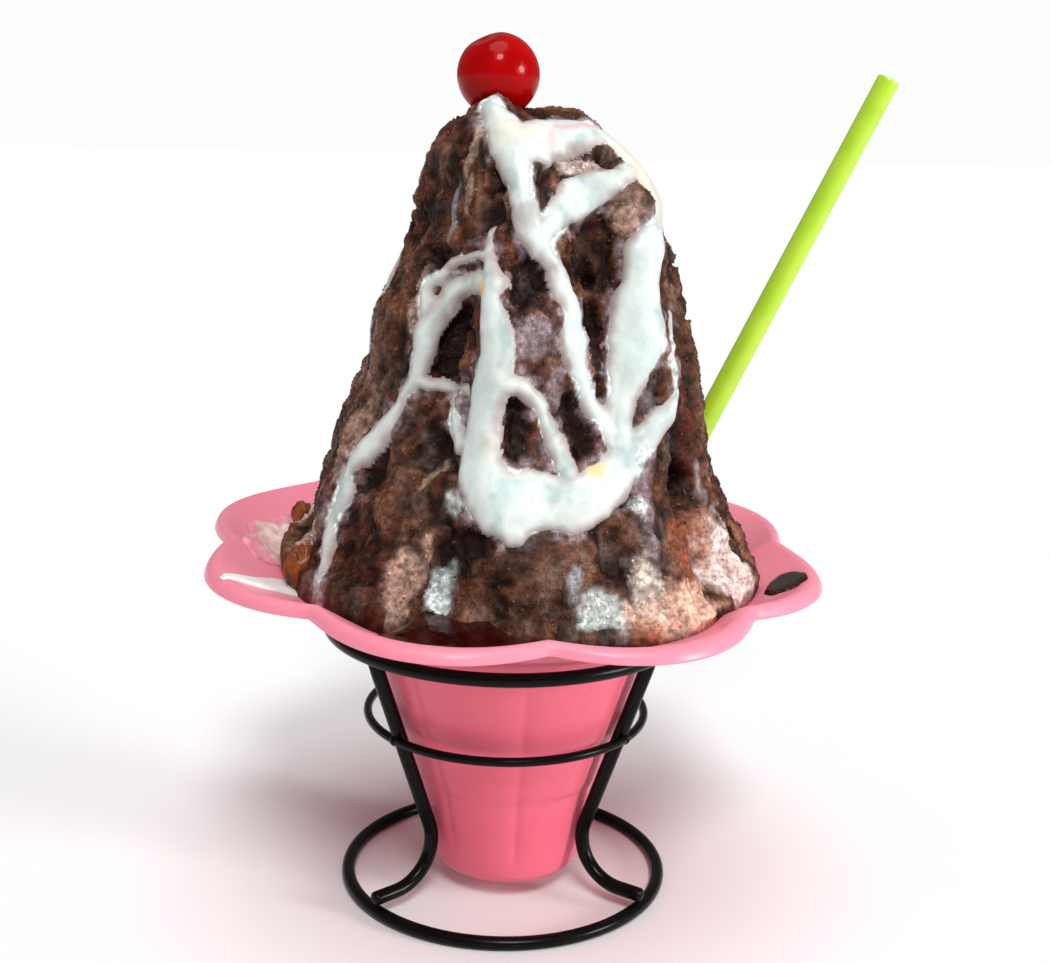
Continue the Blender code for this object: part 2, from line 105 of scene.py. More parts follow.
# Milk drizzle: each stroke runs through azimuth, height, half width.  A height above WALL_TOP counts inwards
# over the mound's cap.
MILK_STROKES = [
    [(-139, 105.5, 1.4), (-135, 105, 2.4), (-128, 104, 3.2), (-120, 102, 4.2), (-111, 99.5, 4.6), (-104, 95, 3.6), (-100, 91, 3.0),
     (-98, 87, 2.9), (-95, 83, 3.0), (-90, 79, 2.4)],
    [(-90, 80, 2.6), (-86, 77, 2.0), (-82, 74, 2.0), (-80, 70, 2.5), (-76, 66, 2.8), (-75, 61, 2.9),
     (-75, 55, 2.8), (-72, 49, 2.3), (-69, 45, 2.1), (-64, 41, 2.6), (-60, 38, 3.2)],
    [(-26, 94, 2.2), (-38, 93.5, 2.4), (-50, 92, 2.8), (-62, 89, 4.2), (-76, 86, 3.8), (-86, 82, 2.8), (-90, 79, 2.4)],
    [(-112, 99, 4.2), (-98, 99.5, 5.6), (-78, 100.5, 5.6), (-57, 102, 5.0), (-36, 102, 4.4), (-20, 98, 4.4),
     (-15, 93, 4.6), (-19, 88, 4.6), (-27, 84, 4.6), (-34, 80, 5.0), (-42, 77, 5.2), (-46, 70, 5.4),
     (-49, 65, 6.2), (-50, 61, 6.6), (-53, 56, 5.8), (-55, 51, 4.6), (-57, 45, 3.6), (-59, 38, 3.4)],
    [(-30, 63, 0.9), (-36, 59, 1.0), (-39, 54, 1.0), (-38, 47, 1.5), (-42, 43, 2.3), (-48, 40, 2.9),
     (-53, 36, 3.4), (-58, 33, 3.8)],
    [(-104, 70, 2.6), (-117, 69, 2.5), (-126, 67, 2.2), (-130, 63, 2.3), (-134, 58, 2.8), (-134, 53, 2.3),
     (-136, 47, 2.0), (-139, 43, 1.6), (-142, 38, 2.2), (-146, 33, 2.9), (-149, 28, 2.5), (-151, 24, 2.1),
     (-150, 18, 2.7), (-151, 12, 2.4), (-149, 5, 1.8), (-146, 0, 1.5), (-144, -3, 1.2)],
    [(-111, 80, 0.5), (-110, 76, 1.0), (-117, 75, 0.9), (-128, 73, 1.1), (-134, 70, 1.3), (-139, 67, 1.5),
     (-136, 62, 2.0)],
    [(-111, 78, 0.7), (-107, 71, 2.4), (-105, 66, 2.9), (-103, 62, 3.6), (-101, 56, 4.1), (-103, 50, 4.3),
     (-104, 43, 4.2), (-104, 37, 4.8), (-103, 33, 5.0), (-100, 28, 5.2), (-96, 24, 5.0), (-93, 20.5, 3.4)],
    [(-101, 50, 2.2), (-94, 50, 1.7), (-90, 48, 1.8), (-87, 45, 1.9), (-85, 41, 1.9), (-82, 37, 2.0),
     (-78, 31, 2.6)],
    [(-102, 31, 4.8), (-95, 26, 7.0), (-89, 26, 6.8), (-81, 25, 5.8), (-74, 26, 6.0), (-64, 29, 4.9),
     (-58, 34, 4.4), (-59, 38, 3.3)],
    [(-80, 25, 4.0), (-77, 22.5, 3.4)],
    [(-112, 47, 1.2), (-124, 45.5, 1.0), (-136, 47, 1.2)], [(-120, 44, 1.0), (-116, 40, 1.8), (-111, 36, 2.4)],
    [(58, 104, 2.2), (66, 92, 2.8), (60, 80, 3.2), (66, 66, 4.4), (60, 52, 4.2), (66, 40, 3.4), (72, 33, 4.0),
     (84, 29, 5.0), (96, 31, 4.4), (101, 38, 3.2), (98, 50, 2.8), (104, 66, 2.0), (98, 80, 2.2), (104, 94, 2.2)],
    [(140, 103, 2.0), (146, 90, 2.2), (140, 76, 3.4), (147, 60, 3.6), (142, 44, 2.6), (150, 29, 2.0),
     (158, 14, 1.6), (160, 2, 1.0)],
    [(178, 97, 1.2), (173, 84, 1.8), (179, 70, 1.5), (173, 56, 1.3), (179, 42, 1.0)],
    [(22, 96, 1.4), (27, 80, 2.2), (20, 66, 1.8), (27, 50, 2.6), (36, 34, 2.2), (40, 22, 1.4)]]
MILK_SHRINK = 0.1                 # taken off every stroke's half width
MILK_DEPTH = 1.35
MILK_EDGE = 1.9                   # how fast the milk's thickness grows from its edge
MILK_LIFT = 0.2
MILK_SKIRT = 1.0                  # how far the milk's skin goes on under the ice beyond its edge
MILK_FLOOR = 1.6                  # how far its closed underside lies below the ice
MILK_ROWS = 296
MILK_COLUMNS = 580

# sRGB colours, 0 to 255.
ICE_DARK = (30, 14, 8)
ICE_BROWN = (76, 42, 28)
ICE_LIGHT = (112, 72, 52)
ICE_RED = (104, 44, 26)
MILK_WHITE = (217, 223, 219)
MILK_SHADE = (212, 224, 221)
MILK_THIN = (178, 162, 158)
MILK_CLOUD = (186, 200, 198)
CREAM = (232, 206, 150)
WARM_WHITE = (226, 217, 203)
PINK_STREAK = (240, 178, 184)
LILAC = (164, 146, 152)
GREY_BLUE = (184, 190, 194)
MILKY = (204, 216, 212)
PALE_ICE = (228, 202, 196)
PEACH_ICE = (230, 182, 160)
PALE_TAN = (200, 166, 146)
PALE_CREAM = (226, 214, 200)
RUST_ICE = (146, 78, 46)
TAN_ICE = (152, 94, 70)
# The pink plastic in lit and shaded copies: the body and the flange's outer faces are darker as painted shade, the
# petals' inner faces lighter as lit.
SHADED_BODY_PINK = (245, 110, 132)
SHADED_RIM_PINK = (241, 130, 149)
LIT_PETAL_PINK = (243, 143, 163)
HEAP_PINK = (232, 200, 192)

# Stains on the ice, and one patch of painted shade: azimuth, height, half width, half height, colour, strength.
ICE_STAINS = [
    (-27, 6, 8.0, 11, PALE_ICE, 0.95), (-5, 4, 3.6, 8.0, TAN_ICE, 0.8), (-19, 22, 1.4, 12, PALE_TAN, 0.7),
    (-32, 14, 3.4, 6.5, TAN_ICE, 0.8), (-45, 12, 4.6, 7.0, RUST_ICE, 0.8), (-58, 7, 3.8, 7.5, PALE_CREAM, 1.0),
    (-52, 1.5, 12.0, 5.4, PEACH_ICE, 1.0), (-62, -1, 5.0, 2.4, TAN_ICE, 0.8), (-71, 3, 6.5, 4.6, MILKY, 1.0),
    (-78, 10, 1.8, 3.6, GREY_BLUE, 0.7), (-55, 21, 1.5, 9.0, LILAC, 0.7), (-57, 24, 2.2, 1.6, MILKY, 0.8),
    (-26, 25, 1.2, 5.0, LILAC, 0.7), (-17, 46, 1.3, 18, PALE_TAN, 0.5), (-30, 44, 1.6, 14, ICE_RED, 0.7),
    (-120, 6, 4.4, 6.5, PALE_TAN, 0.95), (-109, 6, 3.4, 5.5, MILKY, 1.0), (-115, 12, 1.5, 5.0, PALE_TAN, 0.8),
    (-120, 29, 0.9, 4.0, PALE_TAN, 0.8), (-109, 24, 2.7, 2.8, MILKY, 0.9), (-115, 41, 2.8, 5.0, LILAC, 0.8),
    (-162, 8, 4.5, 10, PALE_TAN, 0.8), (174, 4, 7.0, 7.0, PALE_ICE, 0.8), (-156, 34, 3.0, 9.0, PALE_TAN, 0.4), (-170, 50, 4.0, 10, PALE_TAN, 0.35),
    (-130, 96, 0.9, 6.0, PALE_TAN, 0.55), (-126, 88, 0.9, 5.0, PALE_TAN, 0.5), (-134, 84, 1.2, 5.5, GREY_BLUE, 0.4),
    (-91, 60, 5.5, 3.8, LILAC, 0.9), (-97, 81, 1.8, 4.0, LILAC, 0.7), (-82, 50, 2.4, 5.0, LILAC, 0.5),
    (-48, 86, 2.6, 4.6, PALE_TAN, 0.5), (-62, 95, 5.5, 2.0, PALE_ICE, 1.0), (-48, 46, 1.6, 5.0, LILAC, 0.8),
    # The ICE_DARK patch low on the front at azimuth -90 is painted shade over the lit front slope, not a stain.
    (-140, 62, 2.0, 7.0, PALE_TAN, 0.5), (-90, 11, 15.0, 10.0, ICE_DARK, 0.45), (-128, 70, 3.0, 2.0, GREY_BLUE, 0.5),
    (40, 6, 8.0, 7.0, PALE_ICE, 0.7), (75, 18, 5.0, 6.0, GREY_BLUE, 0.6), (108, 4, 7.0, 6.0, TAN_ICE, 0.7),
    (135, 12, 5.0, 8.0, GREY_BLUE, 0.5), (85, 62, 4.0, 5.0, LILAC, 0.6), (155, 3, 8.0, 5.0, PALE_ICE, 0.6)]
MILK_STAINS = [
    (-108, 68.5, 1.6, 2.0, CREAM, 0.9), (-70, 32, 2.8, 2.2, CREAM, 0.9), (-101, 37, 2.0, 3.0, CREAM, 0.2),
    (-70, 102, 4.0, 1.0, PINK_STREAK, 0.6), (-42, 103, 3.5, 1.2, PINK_STREAK, 0.7),
    (-86, 99, 1.2, 2.6, PINK_STREAK, 0.5), (-22, 90, 7.0, 11.0, WARM_WHITE, 0.9), (-74, 60, 2.4, 9.0, MILK_SHADE, 0.9),
    (-50, 55, 3.5, 6.0, MILK_SHADE, 0.8), (-104, 50, 2.6, 7.0, MILK_SHADE, 0.7), (-66, 88, 5.0, 3.4, MILK_SHADE, 1.0),
    (-110, 101, 5.0, 3.0, WARM_WHITE, 0.7), (-92, 27, 5.0, 3.0, MILK_SHADE, 0.6), (-96, 84, 2.6, 3.0, LILAC, 0.5)]

# Loose grains on the ice.
GRAIN_COUNT = 9000
GRAIN_SMALL = 0.25
GRAIN_LARGE = 0.6
GRAIN_SINK = 0.35                 # share of a grain's size that it is sunk in the skin

# Liquid on the flange.
FLANGE_CREST = 73.2               # nominal radius of the lip's crest
POOL_SINK = 0.12                  # how far a pool's edge reaches into the flange's skin
PETAL_WHITE_FILM = [(-149.5, 74.6, 3.4), (-151.0, 70.0, 3.8), (-152.5, 64.0, 4.0), (-156.0, 57.0, 4.2), (-160.0, 50.0, 4.0)]
PETAL_FILM_DEPTH = 1.1
FOOT_SYRUP = (-115.0, -68.0)      # azimuths between which syrup fills the trough in front

# Cherry and straw, in the cup frame.
CHERRY_RADIUS = 9.48
CHERRY_CENTRE = np.array([-8.2, 0.0, 112.8])
CHERRY_DIMPLE = 1.2
STRAW_RADIUS = 2.8
STRAW_WALL = 0.45
STRAW_LENGTH = 209.9
STRAW_FOOT = np.array([-0.3, 1.5, -74.0])
STRAW_PASSES = np.array([45.9, 12.5, 28.1])

# Wire holder, in the holder frame.
HEAVY_WIRE = 1.65
LIGHT_WIRE = 1.1
LEG_WIRE = 1.75
TOP_RING_RADIUS = 44.4
MID_RING_RADIUS = 34.9
MID_RING_DROP = 42.0
FOOT_RING_RADIUS = 40.0
WELD_DEPTH = 0.8
LEG_INSIDE = 1.6                  # the legs pass this far inside the middle ring's centre line
LEG_AZIMUTHS = {"leg_left": -139.0, "leg_right": -34.0, "leg_back": 94.0}
LEG_TOP_DROP = 19.9
LEG_BEND_RADIUS = 11.0
LEG_OVERHANG = 1.5
TOUCH_GAP = 0.35

# Camera, measured from the rim's centre.
CAMERA_DISTANCE = 0.370
CAMERA_ELEVATION = math.radians(15.4)
CAMERA_YAW = math.radians(0.56)
CAMERA_PITCH = math.radians(12.85)
CAMERA_ROLL = math.radians(1.2)
LENS_WIDTHS = 1.4187              # focal length as a share of the picture's width
SENSOR_MM = 36.0


# ---------------------------------------------------------------- frames and meshes

def find_frames():
    """The matrices from the cup frame and the holder frame to the part's frame, in metres."""
    foot_low, foot_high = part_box("foot_ring")
    ring_low, ring_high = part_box("top_ring")
    centre_x = (foot_low.x + foot_high.x) / 2 - HOLDER_AXIS[0] * MM
    rim_height = (ring_low.z + ring_high.z) / 2 + RIM_ABOVE_RING * MM
    plumb = Matrix.Translation((centre_x, 0.0, rim_height)) @ Matrix.Scale(MM, 4)
    return plumb @ Matrix.Rotation(CUP_LEAN, 4, "Y") @ Matrix.Rotation(CUP_PITCH, 4, "X"), plumb


CUP_FRAME, HOLDER_FRAME = find_frames()


def move_points(points, matrix):
    table = np.array(matrix)
    return points @ table[:3, :3].T + table[:3, 3]


def add_piece(name, points, faces, matrix, material, replaces=(), tint=None, smooth=True):
    """A mesh piece from points in millimetres, riding on the part's one body."""
    mesh = bpy.data.meshes.new(name)
    mesh.from_pydata(move_points(points, matrix).tolist(), [], faces)
    if tint is not None:
        layer = mesh.color_attributes.new(name="tint", type="FLOAT_COLOR", domain="POINT")
        colours = np.concatenate([tint, np.ones((len(tint), 1))], axis=1)
        layer.data.foreach_set("color", colours.astype(np.float32).ravel())
    mesh.materials.append(material)
    if smooth:
        mesh.shade_smooth()
    piece = bpy.data.objects.new(name, mesh)
    bpy.context.scene.collection.objects.link(piece)
    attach(piece, "root")
    if replaces:
        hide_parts(*replaces)
    return piece


def grid_faces(rows, columns, wrap=True, offset=0):
    """Quads between the rows of a grid; they face outwards when rows rise and columns run anticlockwise."""
    row, column = np.meshgrid(np.arange(rows - 1), np.arange(columns if wrap else columns - 1), indexing="ij")
    after = (column + 1) % columns
    quads = np.stack([row * columns + column, row * columns + after,
                      (row + 1) * columns + after, (row + 1) * columns + column], axis=-1)
    return (quads.reshape(-1, 4) + offset).tolist()


def fan_faces(centre, first, columns, flipped=False):
    ring = [first + step for step in range(columns)]
    pairs = zip(ring, ring[1:] + ring[:1])
    return [(centre, b, a) if flipped else (centre, a, b) for a, b in pairs]


# ---------------------------------------------------------------- numbers

def unit(vectors):
    return vectors / np.maximum(np.linalg.norm(vectors, axis=-1, keepdims=True), 1e-9)


def smooth_step(low, high, value):
    share = np.clip((value - low) / (high - low), 0.0, 1.0)
    return share * share * (3.0 - 2.0 * share)


def smooth_max(first, second, width):
    blend = np.maximum(width - np.abs(first - second), 0.0)
    return np.maximum(first, second) + blend ** 2 / (4.0 * width)


def linear(colour):
    """Scene-linear values of an sRGB colour given from 0 to 255."""
    share = np.array(colour, float) / 255.0
    return np.where(share <= 0.04045, share / 12.92, ((share + 0.055) / 1.055) ** 2.4)


NOISE_CELLS = 64


def noise(points, size, seed):
    """Smooth noise from -1 to 1 with cells of a given size, which may differ along the axes."""
    table = np.random.default_rng(seed).uniform(-1.0, 1.0, (NOISE_CELLS,) * 3)
    scaled = points / np.array(size)
    cell = np.floor(scaled).astype(int)
    part = scaled - cell
    part = part * part * (3.0 - 2.0 * part)
    total = np.zeros(len(points))
    for corner in np.ndindex(2, 2, 2):
        index = (cell + corner) % NOISE_CELLS
        weight = np.prod(np.where(np.array(corner) == 1, part, 1.0 - part), axis=1)
        total += weight * table[index[:, 0], index[:, 1], index[:, 2]]
    return total


def crumbs(points, size, seed):
    """Packed rounded crumbs: 1 at a crumb's middle, falling to about 0 in the seams between crumbs."""
    shifts = np.random.default_rng(seed).uniform(0.0, 1.0, (NOISE_CELLS,) * 3 + (3,))
    scaled = points / size
    cell = np.floor(scaled).astype(int)
    nearest = np.full(len(points), 9.0)
    for offset in np.ndindex(3, 3, 3):
        index = cell + offset - 1
        turned = index % NOISE_CELLS
        centre = index + shifts[turned[:, 0], turned[:, 1], turned[:, 2]]
        nearest = np.minimum(nearest, np.sum((scaled - centre) ** 2, axis=1))
    return np.clip(1.0 - nearest * 1.6, 0.0, 1.0)


def curve_through(points, steps):
    """A Catmull-Rom curve through rows of numbers, with a number of steps between each two."""
    table = np.array(points, float)
    padded = np.concatenate([2 * table[:1] - table[1:2], table, 2 * table[-1:] - table[-2:-1]])
    shares = np.linspace(0.0, 1.0, steps, endpoint=False)[:, None]
    parts = []
    for a, b, c, d in zip(padded, padded[1:], padded[2:], padded[3:]):
        parts.append(0.5 * (2 * b + (c - a) * shares + (2 * a - 5 * b + 4 * c - d) * shares ** 2
                            + (3 * b - a - 3 * c + d) * shares ** 3))
    return np.concatenate(parts + [table[-1:]])


def blur_grid(grid, steps, wrap_rows=False):
    """A grid averaged a number of times with its neighbours, round its columns and along its rows."""
    for _ in range(steps):
        grid = (grid + np.roll(grid, 1, axis=1) + np.roll(grid, -1, axis=1)) / 3.0
        below = np.concatenate([grid[:1], grid[:-1]])
        above = np.concatenate([grid[1:], grid[-1:]])
        grid = (grid + below + above) / 3.0
    return grid


def grid_at(grid, rows, columns):
    """Values of a grid at fractional rows and columns; the columns go round."""
    height, width = grid.shape[:2]
    rows = np.clip(rows, 0.0, height - 1.001)
    low = np.floor(rows).astype(int)
    left = np.floor(columns).astype(int)
    up = (rows - low)[..., None]
    along = (columns - left)[..., None]
    left = left % width
    right = (left + 1) % width
    lower = grid[low, left] * (1 - along) + grid[low, right] * along
    upper = grid[low + 1, left] * (1 - along) + grid[low + 1, right] * along
    return lower * (1 - up) + upper * up


def grid_normals(grid):
    """Outward unit normals of a grid whose columns go round and whose rows rise."""
    across = np.roll(grid, -1, axis=1) - np.roll(grid, 1, axis=1)
    rising = np.gradient(grid, axis=0)
    return unit(np.cross(across, rising))


# ---------------------------------------------------------------- materials

def start_material(name, **sockets):
    material = bpy.data.materials.new(name)
    material.use_nodes = True
    shader = material.node_tree.nodes["Principled BSDF"]
    for socket, value in sockets.items():
        shader.inputs[socket.replace("_", " ")].default_value = value
    return material, material.node_tree, shader


def noise_node(tree, size_mm, detail=3.0, stretch=(1.0, 1.0, 1.0)):
    place = tree.nodes.new("ShaderNodeTexCoord")
    mapping = tree.nodes.new("ShaderNodeMapping")
    mapping.inputs["Scale"].default_value = stretch
    texture = tree.nodes.new("ShaderNodeTexNoise")
    texture.inputs["Scale"].default_value = 1.0 / (size_mm * MM)
    texture.inputs["Detail"].default_value = detail
    tree.links.new(place.outputs["Object"], mapping.inputs["Vector"])
    tree.links.new(mapping.outputs["Vector"], texture.inputs["Vector"])
    return texture.outputs["Fac"]


def ramp_node(tree, value, stops):
    ramp = tree.nodes.new("ShaderNodeValToRGB")
    for _ in stops[2:]:
        ramp.color_ramp.elements.new(0.5)
    for element, (position, colour) in zip(ramp.color_ramp.elements, stops):
        element.position = position
        element.color = (*colour, 1.0)
    tree.links.new(value, ramp.inputs["Fac"])
    return ramp.outputs["Color"]


def mix_node(tree, share, first, second, mode="MIX"):
    mix = tree.nodes.new("ShaderNodeMix")
    mix.data_type = "RGBA"
    mix.blend_type = mode
    for value, socket in ((share, mix.inputs[0]), (first, mix.inputs[6]), (second, mix.inputs[7])):
        if isinstance(value, bpy.types.NodeSocket):
            tree.links.new(value, socket)
        else:
            socket.default_value = value
    return mix.outputs[2]


def range_node(tree, value, low, high, from_low=0.3, from_high=0.7):
    mapped = tree.nodes.new("ShaderNodeMapRange")
    mapped.inputs["From Min"].default_value = from_low
    mapped.inputs["From Max"].default_value = from_high
    mapped.inputs["To Min"].default_value = low
    mapped.inputs["To Max"].default_value = high
    tree.links.new(value, mapped.inputs["Value"])
    return mapped.outputs["Result"]


def bump_node(tree, shader, height, distance_mm, before=None):
    bump = tree.nodes.new("ShaderNodeBump")
    bump.inputs["Distance"].default_value = distance_mm * MM
    tree.links.new(height, bump.inputs["Height"])
    if before is not None:
        tree.links.new(before, bump.inputs["Normal"])
    tree.links.new(bump.outputs["Normal"], shader.inputs["Normal"])
    return bump.outputs["Normal"]


def tint_node(tree):
    attribute = tree.nodes.new("ShaderNodeAttribute")
    attribute.attribute_name = "tint"
    return attribute.outputs["Color"]


def grey(value):
    return (value, value, value)


def make_ice_material():
    material, tree, shader = start_material("syrup_ice", Specular_IOR_Level=0.14)
    fine = noise_node(tree, 1.3, 4.0)
    soft = noise_node(tree, 2.4, 3.0)
    shade = ramp_node(tree, fine, [(0.34, grey(0.56)), (0.5, grey(0.96)), (0.66, grey(1.55))])
    mottled = mix_node(tree, 1.0, tint_node(tree), shade, "MULTIPLY")
    tree.links.new(mottled, shader.inputs["Base Color"])
    tree.links.new(range_node(tree, soft, 0.4, 0.65), shader.inputs["Roughness"])
    first = bump_node(tree, shader, fine, 0.25)
    bump_node(tree, shader, noise_node(tree, 0.4, 2.0), 0.06, first)
    return material


def make_grain_material():
    material, tree, shader = start_material("ice_grains", Roughness=0.4, Specular_IOR_Level=0.3)
    fine = noise_node(tree, 0.5, 2.0)
    shade = ramp_node(tree, fine, [(0.3, grey(0.6)), (0.7, grey(1.4))])
    tree.links.new(mix_node(tree, 1.0, tint_node(tree), shade, "MULTIPLY"), shader.inputs["Base Color"])
    bump_node(tree, shader, fine, 0.15)
    return material


def make_milk_material():
    material, tree, shader = start_material(
        "milk_drizzle", Roughness=0.32, Specular_IOR_Level=0.2, Subsurface_Weight=0.3,
        Subsurface_Scale=0.0012, Subsurface_Radius=(1.0, 0.85, 0.7))
    cloud = noise_node(tree, 4.0, 3.0)
    shade = ramp_node(tree, cloud, [(0.35, (0.86, 0.9, 0.9)), (0.62, (1.0, 1.0, 1.0))])
    tree.links.new(mix_node(tree, 1.0, tint_node(tree), shade, "MULTIPLY"), shader.inputs["Base Color"])
    bump_node(tree, shader, noise_node(tree, 3.0, 2.0), 0.25)
    return material


def make_cup_material():
    material, tree, shader = start_material(
        "pink_plastic", Roughness=0.3, Specular_IOR_Level=0.3, Subsurface_Weight=0.25,
        Subsurface_Scale=0.003, Subsurface_Radius=(1.0, 0.45, 0.5))
    cloud = noise_node(tree, 30.0, 2.0)
    shade = ramp_node(tree, cloud, [(0.3, (0.98, 0.95, 0.95)), (0.7, (1.0, 1.0, 1.0))])
    pink = mix_node(tree, 1.0, tint_node(tree), shade, "MULTIPLY")
    tree.links.new(pink, shader.inputs["Base Color"])
    tree.links.new(range_node(tree, noise_node(tree, 12.0, 2.0), 0.26, 0.34), shader.inputs["Roughness"])
    bump_node(tree, shader, noise_node(tree, 16.0, 1.0), 0.06)
    return material


def make_straw_material():
    material, tree, shader = start_material(
        "lime_plastic", Roughness=0.32, Subsurface_Weight=0.3, Subsurface_Scale=0.002,
        Subsurface_Radius=(0.8, 1.0, 0.3), Coat_Weight=0.3, Coat_Roughness=0.15)
    cloud = noise_node(tree, 7.0, 2.0)
    lime = ramp_node(tree, cloud, [(0.3, linear((176, 222, 44))), (0.7, linear((190, 231, 60)))])
    tree.links.new(lime, shader.inputs["Base Color"])
    bump_node(tree, shader, noise_node(tree, 2.5, 2.0), 0.04)
    return material


def make_cherry_material():
    material, tree, shader = start_material(
        "cherry_skin", Roughness=0.22, Specular_IOR_Level=0.05, Coat_Weight=0.14, Coat_Roughness=0.03,
        Subsurface_Weight=0.1, Subsurface_Scale=0.002, Subsurface_Radius=(1.0, 0.1, 0.1))
    cloud = noise_node(tree, 6.0, 3.0)
    red = ramp_node(tree, cloud, [(0.3, linear((146, 0, 1))), (0.7, linear((172, 1, 4)))])
    tree.links.new(red, shader.inputs["Base Color"])
    bump_node(tree, shader, noise_node(tree, 2.6, 3.0), 0.2)
    return material


def make_syrup_material(name, dark, light, roughness):
    material, tree, shader = start_material(name, Roughness=roughness, Specular_IOR_Level=0.2, Coat_Weight=0.08, Coat_Roughness=0.08)
    cloud = noise_node(tree, 3.0, 3.0)
    brown = ramp_node(tree, cloud, [(0.35, linear(dark)), (0.7, linear(light))])
    tree.links.new(brown, shader.inputs["Base Color"])
    bump_node(tree, shader, cloud, 0.15)
    return material


def make_wire_material():
    material, tree, shader = start_material(
        "black_wire", Roughness=0.25, Specular_IOR_Level=0.12)
    cloud = noise_node(tree, 2.4, 3.0)
    black = ramp_node(tree, cloud, [(0.3, grey(0.002)), (0.7, grey(0.004))])
    tree.links.new(black, shader.inputs["Base Color"])
    bump_node(tree, shader, cloud, 0.05)
    return material


def make_floor_material():
    material, tree, shader = start_material("floor", Roughness=0.9, Specular_IOR_Level=0.0)
    cloud = noise_node(tree, 90.0, 2.0)
    white = ramp_node(tree, cloud, [(0.3, grey(0.90)), (0.7, grey(0.905))])
    tree.links.new(white, shader.inputs["Base Color"])
    return material


# ---------------------------------------------------------------- cup

def petal_share(angle):
    """1 at a petal's tip and 0 in the notch between two petals."""
    return np.abs(np.cos(PETALS * (angle - FIRST_TIP) / 2)) ** NOTCH_SHARPNESS


def flange_stretch(angle):
    lip = NOTCH_RADIUS + (TIP_RADIUS - NOTCH_RADIUS) * petal_share(angle)
    return (lip - PETAL_START) / (TIP_RADIUS - PETAL_START)


def crease_lift(nominal, angle):
    reach = np.maximum(0.0, (nominal - PETAL_START) / (TIP_RADIUS - PETAL_START))
    return RIDGE_HEIGHT * reach * (1.0 - petal_share(angle)) ** 2


def flange_height(radius, angle):
    """Height of the flange's upper face at a true radius."""
    nominal = np.where(radius > PETAL_START, PETAL_START + (radius - PETAL_START) / flange_stretch(angle), radius)
    profile = np.array(CUP_PROFILE)
    return np.interp(nominal, profile[:, 0], profile[:, 1]) + crease_lift(nominal, angle)


def upright(points):
    """Shifts points of the cup's wall so that its axis is plumb although the rim leans."""
    shift = np.stack([-points[..., 2] * math.tan(CUP_LEAN), points[..., 2] * math.tan(CUP_PITCH),
                      0.0 * points[..., 2]], axis=-1)
    return points + shift


def cup_point(nominal, height, angle):
    """A point of the cup, from its radius before the petals are cut and its height before the creases."""
    radius = np.where(nominal > PETAL_START, PETAL_START + (nominal - PETAL_START) * flange_stretch(angle), nominal)
    below = smooth_step(FLUTE_TOP, FLUTE_TOP - 6.0, height) * smooth_step(FLUTE_BOTTOM, FLUTE_BOTTOM + 6.0, height)
    radius = radius - FLUTE_DEPTH * below * (1.0 - petal_share(angle)) ** 4
    height = height + crease_lift(nominal, angle)
    return upright(np.stack([radius * np.cos(angle), radius * np.sin(angle), height + 0.0 * angle], axis=-1))


def round_corners(points, rounding):
    """A profile with each inner corner replaced by a short curve."""
    table = np.array(points, float)
    result = [table[:1]]
    for before, corner, after in zip(table, table[1:], table[2:]):
        into = before - corner
        out = after - corner
        start = corner + into * min(rounding / np.linalg.norm(into), 0.45)
        end = corner + out * min(rounding / np.linalg.norm(out), 0.45)
        shares = np.linspace(0.0, 1.0, 4)[:, None]
        result.append((1 - shares) ** 2 * start + 2 * shares * (1 - shares) * corner + shares ** 2 * end)
    result.append(table[-1:])
    return np.concatenate(result)


def even_steps(points, longest):
    """A profile with points added so that no step is longer than a length."""
    result = [points[:1]]
    for start, end in zip(points, points[1:]):
        count = max(1, math.ceil(np.linalg.norm(end - start) / longest))
        shares = np.linspace(0.0, 1.0, count + 1)[1:, None]
        result.append(start + (end - start) * shares)
    return np.concatenate(result)


def offset_profile(profile, distance):
    along = unit(np.gradient(profile, axis=0))
    return profile + np.stack([along[:, 1], -along[:, 0]], axis=1) * distance


def cup_section():
    """The cup's closed section from the bottom's middle outside, round the lip, to the middle inside."""
    inner = even_steps(round_corners(CUP_PROFILE, CORNER_ROUNDING), PROFILE_STEP)
    outer = offset_profile(inner, CUP_WALL)
    bottom = CUP_PROFILE[0][1]
    outer[0] = (CUP_PROFILE[0][0], bottom - CUP_WALL)
    middle = (inner[-1] + outer[-1]) / 2
    spoke = outer[-1] - middle
    turns = np.linspace(0.0, math.pi, 7)[1:-1]
    side = np.array([-spoke[1], spoke[0]])
    lip = [middle + spoke * math.cos(turn) + side * math.sin(turn) for turn in turns]
    start = even_steps(np.array([[0.5, bottom - CUP_WALL], outer[0]]), 4.0)[:-1]
    end = even_steps(np.array([inner[0], [0.5, bottom]]), 4.0)[1:]
    return np.concatenate([start, outer, np.array(lip), inner[::-1], end])


